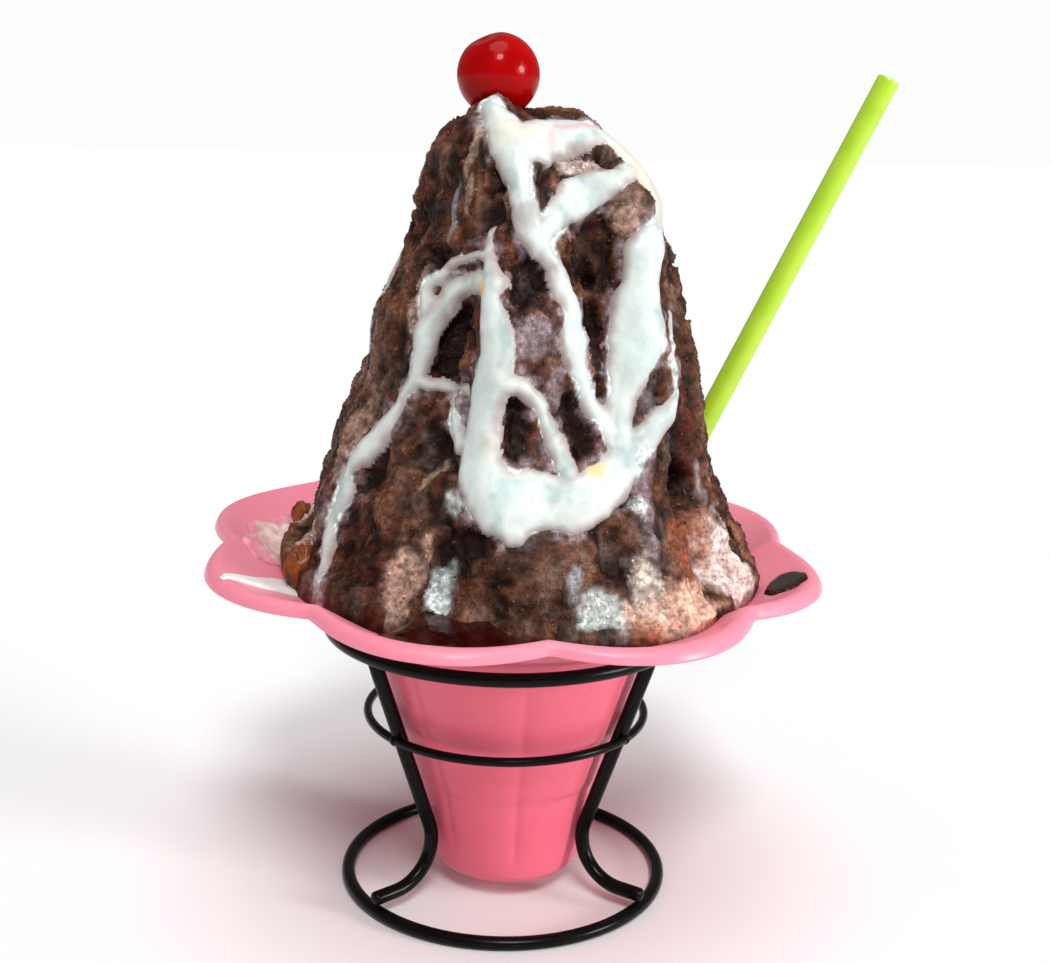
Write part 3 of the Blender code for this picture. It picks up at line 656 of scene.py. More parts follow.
def build_cup(material):
    section = cup_section()
    angles = FIRST_TIP + np.arange(CUP_COLUMNS) * math.tau / CUP_COLUMNS
    rows = [cup_point(np.full(CUP_COLUMNS, radius), height, angles) for radius, height in section]
    ends = upright(np.array([[0.0, 0.0, section[0][1]], [0.0, 0.0, section[-1][1]]]))
    points = np.concatenate(rows + [ends])
    faces = grid_faces(len(section), CUP_COLUMNS)
    last = (len(section) - 1) * CUP_COLUMNS
    faces += fan_faces(len(points) - 2, 0, CUP_COLUMNS, flipped=True)
    faces += fan_faces(len(points) - 1, last, CUP_COLUMNS)
    # Painted shade: the body and the flange's outer faces get darker pinks than the lit inner faces of the petals.
    body = smooth_step(-9.0, -19.0, section[:, 1])[:, None]
    flange = np.where(np.arange(len(section))[:, None] * 2 > len(section), linear(LIT_PETAL_PINK), linear(SHADED_RIM_PINK))
    colour = flange + (linear(SHADED_BODY_PINK) - flange) * body
    tint = np.concatenate([np.repeat(colour, CUP_COLUMNS, axis=0), colour[:1], colour[-1:]])
    add_piece("cup_shell", points, faces, CUP_FRAME, material, ["cup"], tint)


# ---------------------------------------------------------------- ice mound

def straw_axis():
    return unit(STRAW_PASSES - STRAW_FOOT)


def distance_to_straw(points):
    away = points - STRAW_FOOT
    along = away @ straw_axis()
    return np.linalg.norm(away - along[..., None] * straw_axis(), axis=-1)


def ice_tree():
    """The CAD ice in the cup frame, for finding its surface."""
    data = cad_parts["ice"].data
    points = np.array([vert.co for vert in data.vertices])
    local = move_points(points, CUP_FRAME.inverted())
    polygons = [tuple(face.vertices) for face in data.polygons]
    return BVHTree.FromPolygons([Vector(point) for point in local], polygons)


def mound_azimuths():
    return np.arange(MOUND_COLUMNS) * math.tau / MOUND_COLUMNS


def path_heights():
    """The height coordinate of each row: real heights up the wall, then lengths inwards over the cap."""
    wall = np.linspace(WALL_LOW, WALL_TOP, WALL_ROWS)
    cap = WALL_TOP + CAP_RADIUS * np.arange(1, CAP_ROWS + 1) / (CAP_ROWS + 0.5)
    return np.concatenate([[WALL_LOW - 2.0], wall, cap])


def wall_rows(tree):
    azimuths = mound_azimuths()
    rows = []
    for height in np.linspace(WALL_LOW, WALL_TOP, WALL_ROWS):
        row = []
        for angle in azimuths:
            spoke = Vector((math.cos(angle), math.sin(angle), 0.0))
            start = Vector((MOUND_AXIS, 0.0, height)) + spoke * RAY_START
            hit = tree.ray_cast(start, -spoke)[0]
            row.append((hit - start).length)
        rows.append(row)
    reach = RAY_START - np.array(rows)
    heights = np.linspace(WALL_LOW, WALL_TOP, WALL_ROWS)[:, None]
    points = np.stack([MOUND_AXIS + reach * np.cos(azimuths), reach * np.sin(azimuths),
                       heights + 0.0 * reach], axis=-1)
    holes = distance_to_straw(points) < HOLE_MARGIN
    for row, blocked in enumerate(holes):
        if blocked.any():
            reach[row] = np.interp(azimuths, azimuths[~blocked], reach[row][~blocked], period=math.tau)
    return np.stack([MOUND_AXIS + reach * np.cos(azimuths), reach * np.sin(azimuths),
                     heights + 0.0 * reach], axis=-1)


def cap_rows(tree, rim):
    middle = np.array([MOUND_AXIS - 3.0, 0.0])
    rows = []
    for number in range(1, CAP_ROWS + 1):
        share = 1.0 - number / (CAP_ROWS + 0.5)
        row = []
        for point in rim:
            x, y = middle + (point[:2] - middle) * share
            hit = tree.ray_cast(Vector((x, y, 150.0)), Vector((0.0, 0.0, -1.0)))[0]
            row.append((x, y, hit.z))
        rows.append(row)
    return np.array(rows)


def foot_row(first):
    """The mound's lowest row, on the flange."""
    spoke = first - np.array([MOUND_AXIS, 0.0, 0.0])
    outer = first + unit(spoke * np.array([1.0, 1.0, 0.0])) * 0.8
    radius = np.hypot(outer[:, 0], outer[:, 1])
    angle = np.arctan2(outer[:, 1], outer[:, 0])
    outer[:, 2] = flange_height(radius, angle) - FOOT_SINK
    return outer


def mound_core():
    """The mound's smooth surface as a grid of points."""
    tree = ice_tree()
    wall = wall_rows(tree)
    grid = np.concatenate([wall, cap_rows(tree, wall[-1])])
    column_width = math.tau * 45.0 / MOUND_COLUMNS
    grid = blur_grid(grid, round(1.5 * (MOUND_BLUR / column_width) ** 2))
    return np.concatenate([foot_row(grid[0])[None], grid])


def patch_share(points, azimuth, height, patch, seed):
    """How much a patch covers each point: 1 inside, 0 outside, with an uneven edge."""
    place, level, half_width, half_height = patch[:4]
    turn = (azimuth - math.radians(place) + math.pi) % math.tau - math.pi
    across = turn * np.hypot(points[:, 0] - MOUND_AXIS, points[:, 1]) / half_width
    distance = np.hypot(across, (height - level) / half_height)
    near = distance < 2.0
    share = np.zeros(len(points))
    ragged = 0.34 * noise(points[near], 3.1, seed) + 0.2 * noise(points[near], 1.3, seed + 1)
    share[near] = smooth_step(1.3, 0.62, distance[near] + ragged)
    return share


def stroke_lines(core, heights):
    """Each milk stroke as centre points on the mound's surface and half widths."""
    lines = []
    rows = np.arange(len(heights))
    for stroke in MILK_STROKES:
        table = np.array(stroke, float)
        curve = curve_through(table, 12)
        columns = np.radians(curve[:, 0]) / math.tau * MOUND_COLUMNS
        centres = grid_at(core, np.interp(curve[:, 1], heights, rows), columns)
        lines.append((centres, curve[:, 2]))
    return lines


def milk_field(points, lines):
    """Distance from each point into the nearest stroke, in mm; negative outside the milk."""
    field = np.full(len(points), -9.0)
    for centres, widths in lines:
        reach = widths.max() + 6.0
        low = centres.min(axis=0) - reach
        high = centres.max(axis=0) + reach
        near = np.all((points > low) & (points < high), axis=1)
        chosen = points[near]
        edge = np.full(len(chosen), -9.0)
        for start, end, width, next_width in zip(centres, centres[1:], widths, widths[1:]):
            along = end - start
            share = np.clip((chosen - start) @ along / max(along @ along, 1e-9), 0.0, 1.0)
            gap = np.linalg.norm(chosen - start - share[:, None] * along, axis=1)
            edge = np.maximum(edge, width + (next_width - width) * share - gap)
        field[near] = smooth_max(field[near], edge, 1.0)
    ragged = 0.6 * noise(points, 3.4, 71) + 0.22 * noise(points, 1.3, 72)
    return field + ragged - MILK_SHRINK


def mound_relief(points, azimuth, height, field):
    """Height of the mound's lumps, crumbs and hollows over the smooth core, and the depth of the hollows and seams,
    which the ice's colour darkens as painted shade.
    """
    lumps = 1.3 * noise(points, 8.0, 11) + 0.9 * noise(points, 4.0, 12)
    ridges = 1.1 * noise(points, (4.6, 4.6, 18.0), 13)
    seams = -1.0 * np.exp(-(noise(points, (7.0, 7.0, 13.0), 17) / 0.09) ** 2)
    small = 0.6 * crumbs(points, 2.6, 14) - 0.3 + 0.2 * crumbs(points, 1.3, 15) + 0.2 * noise(points, 1.0, 16)
    hollow = np.zeros(len(points))
    for number, patch in enumerate(HOLLOWS):
        hollow += patch[4] * patch_share(points, azimuth, height, patch, 100 + 2 * number)
    bare = smooth_step(0.8, -2.2, field)
    calm = 0.3 + 0.7 * bare
    relief = (lumps + ridges) * (0.55 + 0.45 * bare) + (small + seams) * calm - hollow * bare
    return relief, hollow * bare - seams * bare


def ice_tint(points, azimuth, height, field, relief, hollow):
    """Colour of the ice at each point: brown mottles, a painted highlight on raised lumps, painted shade in hollows and
    seams, stains, one patch of painted shade on the front and milky fringes.
    """
    # Painted highlight and shade: the tone is raised on lumps and lowered in hollows and seams; the noise terms are
    # random mottle.
    mottle_and_shade = 0.44 + 0.4 * noise(points, 5.5, 31) + 0.5 * noise(points, 2.1, 32) + 0.2 * noise(points, 1.0, 39) + 0.14 * relief
    mottle_and_shade = np.clip(mottle_and_shade - 0.14 * hollow, 0.0, 1.0)[:, None]
    colour = linear(ICE_DARK) + (linear(ICE_BROWN) - linear(ICE_DARK)) * np.minimum(mottle_and_shade * 1.8, 1.0)
    colour = colour + (linear(ICE_LIGHT) - linear(ICE_BROWN)) * np.maximum(mottle_and_shade * 2.0 - 1.1, 0.0)
    reddish = smooth_step(0.0, 0.7, noise(points, 11.0, 33))[:, None] * 0.3
    colour = colour + (linear(ICE_RED) - colour) * reddish * mottle_and_shade
    grain = noise(points, 1.5, 34) + 0.5 * noise(points, 3.2, 36) + 0.35 * relief
    for number, patch in enumerate(ICE_STAINS):
        share = patch_share(points, azimuth, height, patch, 200 + 2 * number) * patch[5]
        share = share * (0.55 + 0.45 * smooth_step(-0.5, 0.6, grain))
        colour = colour + (linear(patch[4]) - colour) * share[:, None]
    haze = smooth_step(0.15, 0.75, noise(points, (3.4, 3.4, 11.0), 37) + 0.3 * noise(points, 1.6, 38))
    colour = colour + (linear(PALE_TAN) - colour) * (0.12 * haze)[:, None]
    fringe = smooth_step(-3.4, 0.2, field) * smooth_step(-0.3, 0.7, noise(points, 1.9, 35) + 0.3 * relief)
    colour = colour + (linear(LILAC) - colour) * (0.8 * fringe)[:, None]
    under = smooth_step(-0.3, 0.4, field)[:, None]
    return colour + (linear(MILK_SHADE) - colour) * under


def mound_coordinates(core, heights):
    """Flat arrays of azimuth and height coordinate for a mound grid."""
    azimuth = np.broadcast_to(mound_azimuths(), core.shape[:2]).ravel()
    height = np.repeat(heights, core.shape[1])
    return azimuth, height


def cup_filling():
    """Rings of the ice inside the cup, from the bottom up, just off the cup's wall."""
    azimuths = mound_azimuths()
    rows = []
    for radius, height in CUP_PROFILE[0:10:3]:
        inside = np.full(MOUND_COLUMNS, radius - FILLING_GAP)
        rows.append(upright(np.stack([inside * np.cos(azimuths), inside * np.sin(azimuths),
                                      np.full(MOUND_COLUMNS, height + FILLING_GAP)], axis=-1)))
    return np.concatenate(rows)


def build_mound(core, heights, lines, material):
    """The mound's skin down to its foot on the flange, closed by the ice that fills the cup."""
    azimuth, height = mound_coordinates(core, heights)
    flat = core.reshape(-1, 3)
    field = milk_field(flat, lines)
    relief, hollow = mound_relief(flat, azimuth, height, field)
    tint = ice_tint(flat, azimuth, height, field, relief, hollow)
    held = np.repeat(smooth_step(-1.0, 2.0, np.arange(len(heights))), MOUND_COLUMNS)
    skin = flat + grid_normals(core).reshape(-1, 3) * (relief * held)[:, None]
    filling = cup_filling()
    count = len(filling)
    bottom = upright(np.array([[0.0, 0.0, CUP_PROFILE[0][1] + FILLING_GAP]]))
    points = np.concatenate([filling, skin, [skin[-MOUND_COLUMNS:].mean(axis=0)], bottom])
    faces = grid_faces(len(heights) + count // MOUND_COLUMNS, MOUND_COLUMNS)
    faces += fan_faces(count + len(skin), count + len(skin) - MOUND_COLUMNS, MOUND_COLUMNS, flipped=False)
    faces += fan_faces(count + len(skin) + 1, 0, MOUND_COLUMNS, flipped=True)
    dark = np.repeat(linear(ICE_DARK)[None], count, axis=0)
    tint = np.concatenate([dark, tint, tint[-1:], dark[:1]])
    add_piece("ice_mound", points, faces, CUP_FRAME, material, ["ice"], tint)
    return skin, tint[count:-2], field


def build_milk(core, heights, lines, material):
    """The drizzle: a closed skin that bulges over the strokes and dips into the ice round them."""
    rows, columns = np.meshgrid(np.linspace(0.5, len(heights) - 1.1, MILK_ROWS),
                                np.arange(MILK_COLUMNS) * MOUND_COLUMNS / MILK_COLUMNS, indexing="ij")
    soft = np.concatenate([core[:1], blur_grid(core[1:], 6)])
    grid = grid_at(soft, rows, columns)
    normals = grid_normals(grid).reshape(-1, 3)
    points = grid.reshape(-1, 3)
    field = milk_field(points, lines)
    quads = np.array(grid_faces(MILK_ROWS, MILK_COLUMNS))
    quads = quads[np.min(field[quads], axis=1) > -MILK_SKIRT]
    used, packed = np.unique(quads, return_inverse=True)
    quads = packed.reshape(-1, 4)
    points, normals, field = points[used], normals[used], field[used]
    swell = 1.0 + 0.22 * noise(points, 4.5, 51)
    inside = MILK_DEPTH * swell * (1.0 - np.exp(-np.maximum(field, 0.0) / MILK_EDGE))
    level = MILK_LIFT + inside + 1.3 * np.minimum(field, 0.0) + 0.5 * noise(points, 7.0, 11)
    azimuth = np.arctan2(points[:, 1], points[:, 0] - MOUND_AXIS)
    height = np.interp(rows.ravel()[used], np.arange(len(heights)), heights)
    thick = smooth_step(-0.6, 2.0, field + 0.6 * noise(points, 2.0, 52))[:, None]
    cloudy = smooth_step(0.1, 0.8, noise(points, (3.6, 3.6, 7.0), 53) + 0.3 * noise(points, 1.5, 54))[:, None]
    tint = linear(MILK_WHITE) + (linear(MILK_CLOUD) - linear(MILK_WHITE)) * cloudy
    tint = linear(MILK_THIN) + (tint - linear(MILK_THIN)) * thick
    for number, patch in enumerate(MILK_STAINS):
        share = (patch_share(points, azimuth, height, patch, 300 + 2 * number) * patch[5])[:, None]
        tint = tint + (linear(patch[4]) - tint) * share
    edges = np.concatenate([quads[:, [0, 1]], quads[:, [1, 2]], quads[:, [2, 3]], quads[:, [3, 0]]])
    key = np.sort(edges, axis=1)
    _, first, count = np.unique(key, axis=0, return_index=True, return_counts=True)
    rim = edges[first[count == 1]]
    total = len(points)
    walls = np.stack([rim[:, 1], rim[:, 0], rim[:, 0] + total, rim[:, 1] + total], axis=1)
    top = points + normals * level[:, None]
    bottom = points - normals * MILK_FLOOR
    faces = np.concatenate([quads, quads[:, ::-1] + total, walls]).tolist()
    add_piece("milk", np.concatenate([top, bottom]), faces, CUP_FRAME, material,
              tint=np.concatenate([tint, tint]))


def chunk_shapes(count, generator):
    """Uneven grains round the origin: an icosahedron's corners, pushed in and out for each grain."""
    golden = (1.0 + math.sqrt(5.0)) / 2.0
    corners = []
    for a in (-1.0, 1.0):
        for b in (-golden, golden):
            corners += [(0.0, a, b), (a, b, 0.0), (b, 0.0, a)]
    corners = unit(np.array(corners))
    faces = []
    edge = np.linalg.norm(corners[:, None] - corners[None], axis=2) < 1.1
    for a in range(12):
        for b in range(a + 1, 12):
            for c in range(b + 1, 12):
                if edge[a, b] and edge[b, c] and edge[a, c]:
                    out = np.dot(np.cross(corners[b] - corners[a], corners[c] - corners[a]), corners[a])
                    faces.append((a, b, c) if out > 0 else (a, c, b))
    shapes = corners[None] * generator.uniform(0.6, 1.3, (count, 12, 1))
    stretch = generator.uniform(0.5, 1.4, (count, 1, 3))
    turns = unit(generator.normal(size=(count, 4)))
    w, x, y, z = turns.T
    rotation = np.stack([
        1 - 2 * (y * y + z * z), 2 * (x * y - z * w), 2 * (x * z + y * w),
        2 * (x * y + z * w), 1 - 2 * (x * x + z * z), 2 * (y * z - x * w),
        2 * (x * z - y * w), 2 * (y * z + x * w), 1 - 2 * (x * x + y * y)], axis=1).reshape(-1, 3, 3)
    return np.einsum("nij,nkj->nki", rotation, shapes * stretch), np.array(faces)


def build_grains(skin, tint, field, material):
    """Loose grains half sunk in the mound's skin, each in a shade of the ice under it."""
    generator = np.random.default_rng(5)
    usable = np.flatnonzero(field < -0.6)
    usable = usable[(usable > 3 * MOUND_COLUMNS) & (usable < len(skin) - 12 * MOUND_COLUMNS)]
    radius = np.hypot(skin[usable, 0], skin[usable, 1])
    chosen = generator.choice(usable, GRAIN_COUNT, replace=False, p=radius / radius.sum())
    shapes, faces = chunk_shapes(GRAIN_COUNT, generator)
    sizes = GRAIN_SMALL + (GRAIN_LARGE - GRAIN_SMALL) * generator.uniform(0.0, 1.0, GRAIN_COUNT) ** 2.2
    shade = generator.uniform(0.7, 1.7, (GRAIN_COUNT, 1))
    colours = np.clip(tint[chosen] * shade, 0.0, 0.9)
    centres = skin[chosen]
    inward = unit((np.array([MOUND_AXIS, 0.0, 0.0]) - centres) * np.array([1.0, 1.0, 0.0]))
    centres = centres + inward * (GRAIN_SINK * sizes)[:, None]
    points = (centres[:, None] + shapes * sizes[:, None, None]).reshape(-1, 3)
    all_faces = (faces[None] + 12 * np.arange(GRAIN_COUNT)[:, None, None]).reshape(-1, 3)
    add_piece("ice_grains", points, all_faces.tolist(), CUP_FRAME, material,
              tint=np.repeat(colours, 12, axis=0), smooth=False)


# ---------------------------------------------------------------- syrup, lumps and film on the flange

def build_flange_pool(name, azimuth, radius, half_along, half_out, depth, material, seed, rough=0.0, tint=None):
    """A pool or a low heap on the flange's upper face, with a rounded uneven edge."""
    rings, spokes = (40, 240) if rough else (14, 96)
    turns = np.arange(spokes) * math.tau / spokes
    centre = math.radians(azimuth)
    circle = np.stack([np.cos(turns), np.sin(turns), np.zeros(spokes)], axis=1)
    uneven = 1.0 + 0.22 * noise(circle + seed, 0.8, seed) + (0.1 + 0.2 * rough) * noise(circle + seed, 0.3, seed + 1)
    rows = []
    for ring in range(rings, 0, -1):
        share = ring / rings
        out = radius + np.sin(turns) * half_out * share * uneven
        around = centre + np.cos(turns) * half_along * share * uneven / radius
        place = np.stack([out * np.cos(around), out * np.sin(around), 0.0 * out], axis=1)
        bumps = rough * (noise(place, 2.6, seed + 2) + 0.5 * noise(place, 1.2, seed + 3)) * (1.0 - share ** 4)
        place[:, 2] = flange_height(out, around) + depth * math.sqrt(1.0 - share ** 4) + bumps - POOL_SINK
        rows.append(place)
    middle = np.array([[radius * math.cos(centre), radius * math.sin(centre), 0.0]])
    middle[:, 2] = flange_height(np.array([radius]), np.array([centre])) + depth - POOL_SINK
    below = middle - np.array([[0.0, 0.0, depth + 0.3]])
    points = np.concatenate(rows + [middle, below])
    count = rings * spokes
    faces = [face[::-1] for face in grid_faces(rings, spokes)]
    faces += fan_faces(count, count - spokes, spokes, flipped=True)
    faces += fan_faces(count + 1, 0, spokes, flipped=False)
    if tint is not None:
        edge = np.concatenate([np.repeat(np.linspace(1.0, 0.0, rings), spokes), [0.0, 1.0]])
        fade = smooth_step(0.35, 1.0, edge + 0.35 * noise(points, 2.2, seed + 4))[:, None]
        mottle = (1.0 + 0.16 * noise(points, 1.6, seed + 5))[:, None]
        tint = (linear(tint) + (linear(LIT_PETAL_PINK) - linear(tint)) * fade) * mottle
    add_piece(name, points, faces, CUP_FRAME, material, tint=tint)


def build_foot_syrup(core, heights, material):
    """Syrup that fills the trough between the mound's front and the lip."""
    columns = np.linspace(math.radians(FOOT_SYRUP[0]), math.radians(FOOT_SYRUP[1]), 160) / math.tau * MOUND_COLUMNS
    inner = grid_at(core, np.full(len(columns), np.interp(3.0, heights, np.arange(len(heights)))), columns)
    inner_radius = np.hypot(inner[:, 0], inner[:, 1]) - 1.5
    angle = np.arctan2(inner[:, 1], inner[:, 0])
    crest = PETAL_START + (FLANGE_CREST - PETAL_START) * flange_stretch(angle)
    wave = noise(inner, 6.0, 61)
    taper = np.interp(np.degrees(angle), [FOOT_SYRUP[0], -109.0, -94.0, -87.0, -72.0, FOOT_SYRUP[1]],
                      [0.0, 1.0, 1.0, 0.45, 0.3, 0.0])
    rows = []
    for share in np.linspace(0.0, 1.0, 24):
        radius = inner_radius + (crest - 0.7 + 0.5 * wave - inner_radius) * share
        bed = flange_height(radius, angle)
        level = 2.5 - 0.3 * share + 0.2 * wave
        lift = np.maximum(level - bed, 0.35) * taper * math.sqrt(1.0 - share ** 6) - POOL_SINK
        rows.append(np.stack([radius * np.cos(angle), radius * np.sin(angle), bed + lift], axis=1))
    points = np.concatenate(rows)
    faces = [face[::-1] for face in grid_faces(len(rows), len(columns), wrap=False)]
    add_piece("foot_syrup", points, faces, CUP_FRAME, material)


def build_petal_film(material):
    """A raised white film across the left front petal, from the mound's foot to its lip."""
    run = curve_through(PETAL_WHITE_FILM, 14)
    angle = np.radians(run[:, 0])
    line = np.stack([run[:, 1] * np.cos(angle), run[:, 1] * np.sin(angle), 0.0 * angle], axis=1)
    side = np.cross(unit(np.gradient(line, axis=0)), [0.0, 0.0, 1.0])
    taper = np.sin(np.linspace(0.05, math.pi / 2, len(line))) ** 0.5
    half = run[:, 2] * taper * (1.0 + 0.16 * noise(line, 5.0, 66))
    rows = []
    for across in np.linspace(-1.0, 1.0, 17):
        place = line + side * (across * half)[:, None]
        bed = flange_height(np.hypot(place[:, 0], place[:, 1]), np.arctan2(place[:, 1], place[:, 0]))
        place[:, 2] = bed + PETAL_FILM_DEPTH * taper * math.sqrt(1.0 - across ** 4) - POOL_SINK
        rows.append(place)
    points = np.concatenate(rows)
    tint = np.repeat(linear((246, 240, 236))[None], len(points), axis=0)
    faces = grid_faces(len(rows), len(line), wrap=False)
    add_piece("petal_white_film", points, faces, CUP_FRAME, material, tint=tint)


def build_lump(name, centre, radii, seed, material):
    """A rounded uneven lump of syrup-soaked ice."""
    rows, columns = 40, 64
    tilt = np.linspace(0.02, math.pi - 0.02, rows)[::-1]
    turn = np.arange(columns) * math.tau / columns
    ball = np.stack([np.sin(tilt)[:, None] * np.cos(turn), np.sin(tilt)[:, None] * np.sin(turn),
                     np.cos(tilt)[:, None] + 0.0 * turn], axis=-1).reshape(-1, 3)
    reach = (1.0 + 0.2 * noise(ball + seed, 0.8, seed) + 0.12 * noise(ball + seed, 0.36, seed + 1)
             + 0.05 * noise(ball + seed, 0.16, seed + 2))
    points = ball * reach[:, None] * np.array(radii) + np.array(centre)
    faces = grid_faces(rows, columns) + [list(range(columns))[::-1], list(range((rows - 1) * columns, rows * columns))]
    add_piece(name, points, faces, CUP_FRAME, material)


# ---------------------------------------------------------------- cherry, straw, holder

def build_cherry(material):
    rows, columns = 72, 112
    tilt = np.linspace(0.01, math.pi - 0.01, rows)[::-1]
    turn = np.arange(columns) * math.tau / columns
    ball = np.stack([np.sin(tilt)[:, None] * np.cos(turn), np.sin(tilt)[:, None] * np.sin(turn),
                     np.cos(tilt)[:, None] + 0.0 * turn], axis=-1).reshape(-1, 3)
    points = ball * CHERRY_RADIUS * (0.993 + 0.006 * noise(ball + 3.0, 0.7, 81))[:, None]
    dip = np.exp(-(np.arccos(np.clip(ball[:, 2], -1.0, 1.0)) / 0.3) ** 2)
    points[:, 2] -= CHERRY_DIMPLE * dip
    faces = grid_faces(rows, columns) + [list(range(columns))[::-1], list(range((rows - 1) * columns, rows * columns))]
    turned = Matrix.Rotation(math.radians(-24), 4, "Y") @ Matrix.Rotation(math.radians(12), 4, "X")
    matrix = CUP_FRAME @ Matrix.Translation(Vector(CHERRY_CENTRE)) @ turned
    add_piece("cherry_fruit", points, faces, matrix, material, ["cherry"])


def sweep(points, radius, sides, side_axis):
    """Rings of points round a path that lies in the plane across side_axis."""
    along = unit(np.gradient(points, axis=0))
    across = unit(np.cross(along, side_axis))
    turns = np.arange(sides) * math.tau / sides
    radius = np.broadcast_to(radius, len(points))
    ring = across[:, None] * np.cos(turns)[None, :, None] + side_axis * np.sin(turns)[None, :, None]
    return points[:, None] + ring * radius[:, None, None]


def build_straw(material):
    axis = straw_axis()
    side = unit(np.cross(axis, [0.0, 0.0, 1.0]))
    lengths = np.concatenate([[0.0, 0.15], np.linspace(1.0, STRAW_LENGTH - 1.0, 60), [STRAW_LENGTH - 0.15, STRAW_LENGTH]])
    line = STRAW_FOOT + lengths[:, None] * axis
    round_in = np.where((lengths < 0.1) | (lengths > STRAW_LENGTH - 0.1), 0.12, 0.0)
    outer = sweep(line, STRAW_RADIUS - round_in, 64, side)
    inner = sweep(line, STRAW_RADIUS - STRAW_WALL + round_in, 64, side)[::-1]
    loop = np.concatenate([outer, inner, outer[:1]])
    points = loop[:-1].reshape(-1, 3)
    quads = np.array(grid_faces(len(loop), 64)) % len(points)
    add_piece("straw_tube", points, quads[:, ::-1].tolist(), CUP_FRAME, material, ["straw"])


def build_ring(name, radius, height, wire, material, replaces):
    angles = np.arange(192) * math.tau / 192
    turns = np.arange(24) * math.tau / 24
    reach = radius + wire * np.cos(turns)[:, None]
    points = np.stack([reach * np.cos(angles), reach * np.sin(angles),
                       height + wire * np.sin(turns)[:, None] + 0.0 * angles], axis=-1) + HOLDER_AXIS
    closed = np.array(grid_faces(25, 192)) % (24 * 192)
    add_piece(name, points.reshape(-1, 3), closed.tolist(), HOLDER_FRAME, material, replaces)


def leg_path(azimuth):
    """A leg's centre line: straight down past the middle ring, then round and out over the foot ring."""
    rim = HOLDER_FRAME.translation.z / MM
    ring_height = -RIM_ABOVE_RING
    upper = np.array([TOP_RING_RADIUS - HEAVY_WIRE - LEG_WIRE + WELD_DEPTH, ring_height])
    lower = np.array([MID_RING_RADIUS - LEG_INSIDE, -MID_RING_DROP])
    inward = (upper[0] - lower[0]) / (upper[1] - lower[1])
    lean = math.atan(inward)
    end_height = 2 * HEAVY_WIRE + LEG_WIRE + TOUCH_GAP - rim
    bend_height = end_height + LEG_BEND_RADIUS * (1.0 + math.sin(lean))
    bend_reach = lower[0] - inward * (lower[1] - bend_height)
    top = -LEG_TOP_DROP
    straight = [(upper[0] + inward * (height - upper[1]), height) for height in np.linspace(top, bend_height + 1.0, 24)]
    heading = np.linspace(-lean, math.pi / 2, 20)
    bend = np.stack([bend_reach + LEG_BEND_RADIUS * (math.cos(lean) - np.cos(heading)),
                     bend_height - LEG_BEND_RADIUS * (math.sin(lean) + np.sin(heading))], axis=1)
    foot = np.array([[FOOT_RING_RADIUS + LEG_OVERHANG - 1.0, end_height], [FOOT_RING_RADIUS + LEG_OVERHANG, end_height]])
    outline = np.concatenate([straight, bend, foot])
    angle = math.radians(azimuth)
    return np.stack([outline[:, 0] * math.cos(angle), outline[:, 0] * math.sin(angle), outline[:, 1]], axis=1) + HOLDER_AXIS


def build_leg(name, azimuth, material):
    angle = math.radians(azimuth)
    side_axis = np.array([-math.sin(angle), math.cos(angle), 0.0])
    path = leg_path(azimuth)
    start = unit(path[0] - path[1])
    end = unit(path[-1] - path[-2])
    turns = np.linspace(0.0, math.pi / 2, 5)
    caps = [(1.0 - math.sin(turn), math.cos(turn)) for turn in turns[1:]]
    head = np.array([path[0] - start * LEG_WIRE * 0.5 * drop for drop, _ in caps[::-1]])
    tail = np.array([path[-1] - end * LEG_WIRE * 0.5 * drop for drop, _ in caps])
    widths = [max(width, 0.05) for _, width in caps]
    body = path[(np.arange(len(path)) > 1) & (np.arange(len(path)) < len(path) - 1)]
    line = np.concatenate([head, body, tail])
    radius = np.concatenate([widths[::-1], np.ones(len(body)), widths]) * LEG_WIRE
    rings = sweep(line, radius, 24, side_axis)
    points = rings.reshape(-1, 3)
    faces = [face[::-1] for face in grid_faces(len(rings), 24)]
    last = (len(rings) - 1) * 24
    faces += [list(range(24)), list(range(last, last + 24))[::-1]]
    add_piece(name + "_wire", points, faces, HOLDER_FRAME, material, [name])


def build_welds(material):
    """A bead of weld on each leg at the top and the middle ring."""
    number = 0
    for azimuth in LEG_AZIMUTHS.values():
        angle = math.radians(azimuth)
        for reach, height, size in ((TOP_RING_RADIUS - HEAVY_WIRE - 0.2, -RIM_ABOVE_RING, 2.0),
                                    (MID_RING_RADIUS - 0.2, -MID_RING_DROP, 1.55)):
            number += 1
            centre = HOLDER_AXIS + [reach * math.cos(angle), reach * math.sin(angle), height]
            rows, columns = 14, 24
            tilt = np.linspace(0.05, math.pi - 0.05, rows)[::-1]
            turn = np.arange(columns) * math.tau / columns
            ball = np.stack([np.sin(tilt)[:, None] * np.cos(turn), np.sin(tilt)[:, None] * np.sin(turn),
                             np.cos(tilt)[:, None] + 0.0 * turn], axis=-1).reshape(-1, 3)
            points = centre + ball * size * (1.0 + 0.1 * noise(ball, 0.9, 400 + number))[:, None]
            faces = grid_faces(rows, columns)
            faces += [list(range(columns))[::-1], list(range((rows - 1) * columns, rows * columns))]
            add_piece(f"weld_{number}", points, faces, HOLDER_FRAME, material)


def build_holder(material):
    rim = HOLDER_FRAME.translation.z / MM
    build_ring("top_ring_wire", TOP_RING_RADIUS, -RIM_ABOVE_RING, HEAVY_WIRE, material, ["top_ring"])
    arcs = ["middle_arc_front", "middle_arc_right", "middle_arc_left"]
    build_ring("middle_ring_wire", MID_RING_RADIUS, -MID_RING_DROP, LIGHT_WIRE, material, arcs)
    build_ring("foot_ring_wire", FOOT_RING_RADIUS, HEAVY_WIRE - rim, HEAVY_WIRE, material, ["foot_ring"])
    for name, azimuth in LEG_AZIMUTHS.items():
        build_leg(name, azimuth, material)
    build_welds(material)


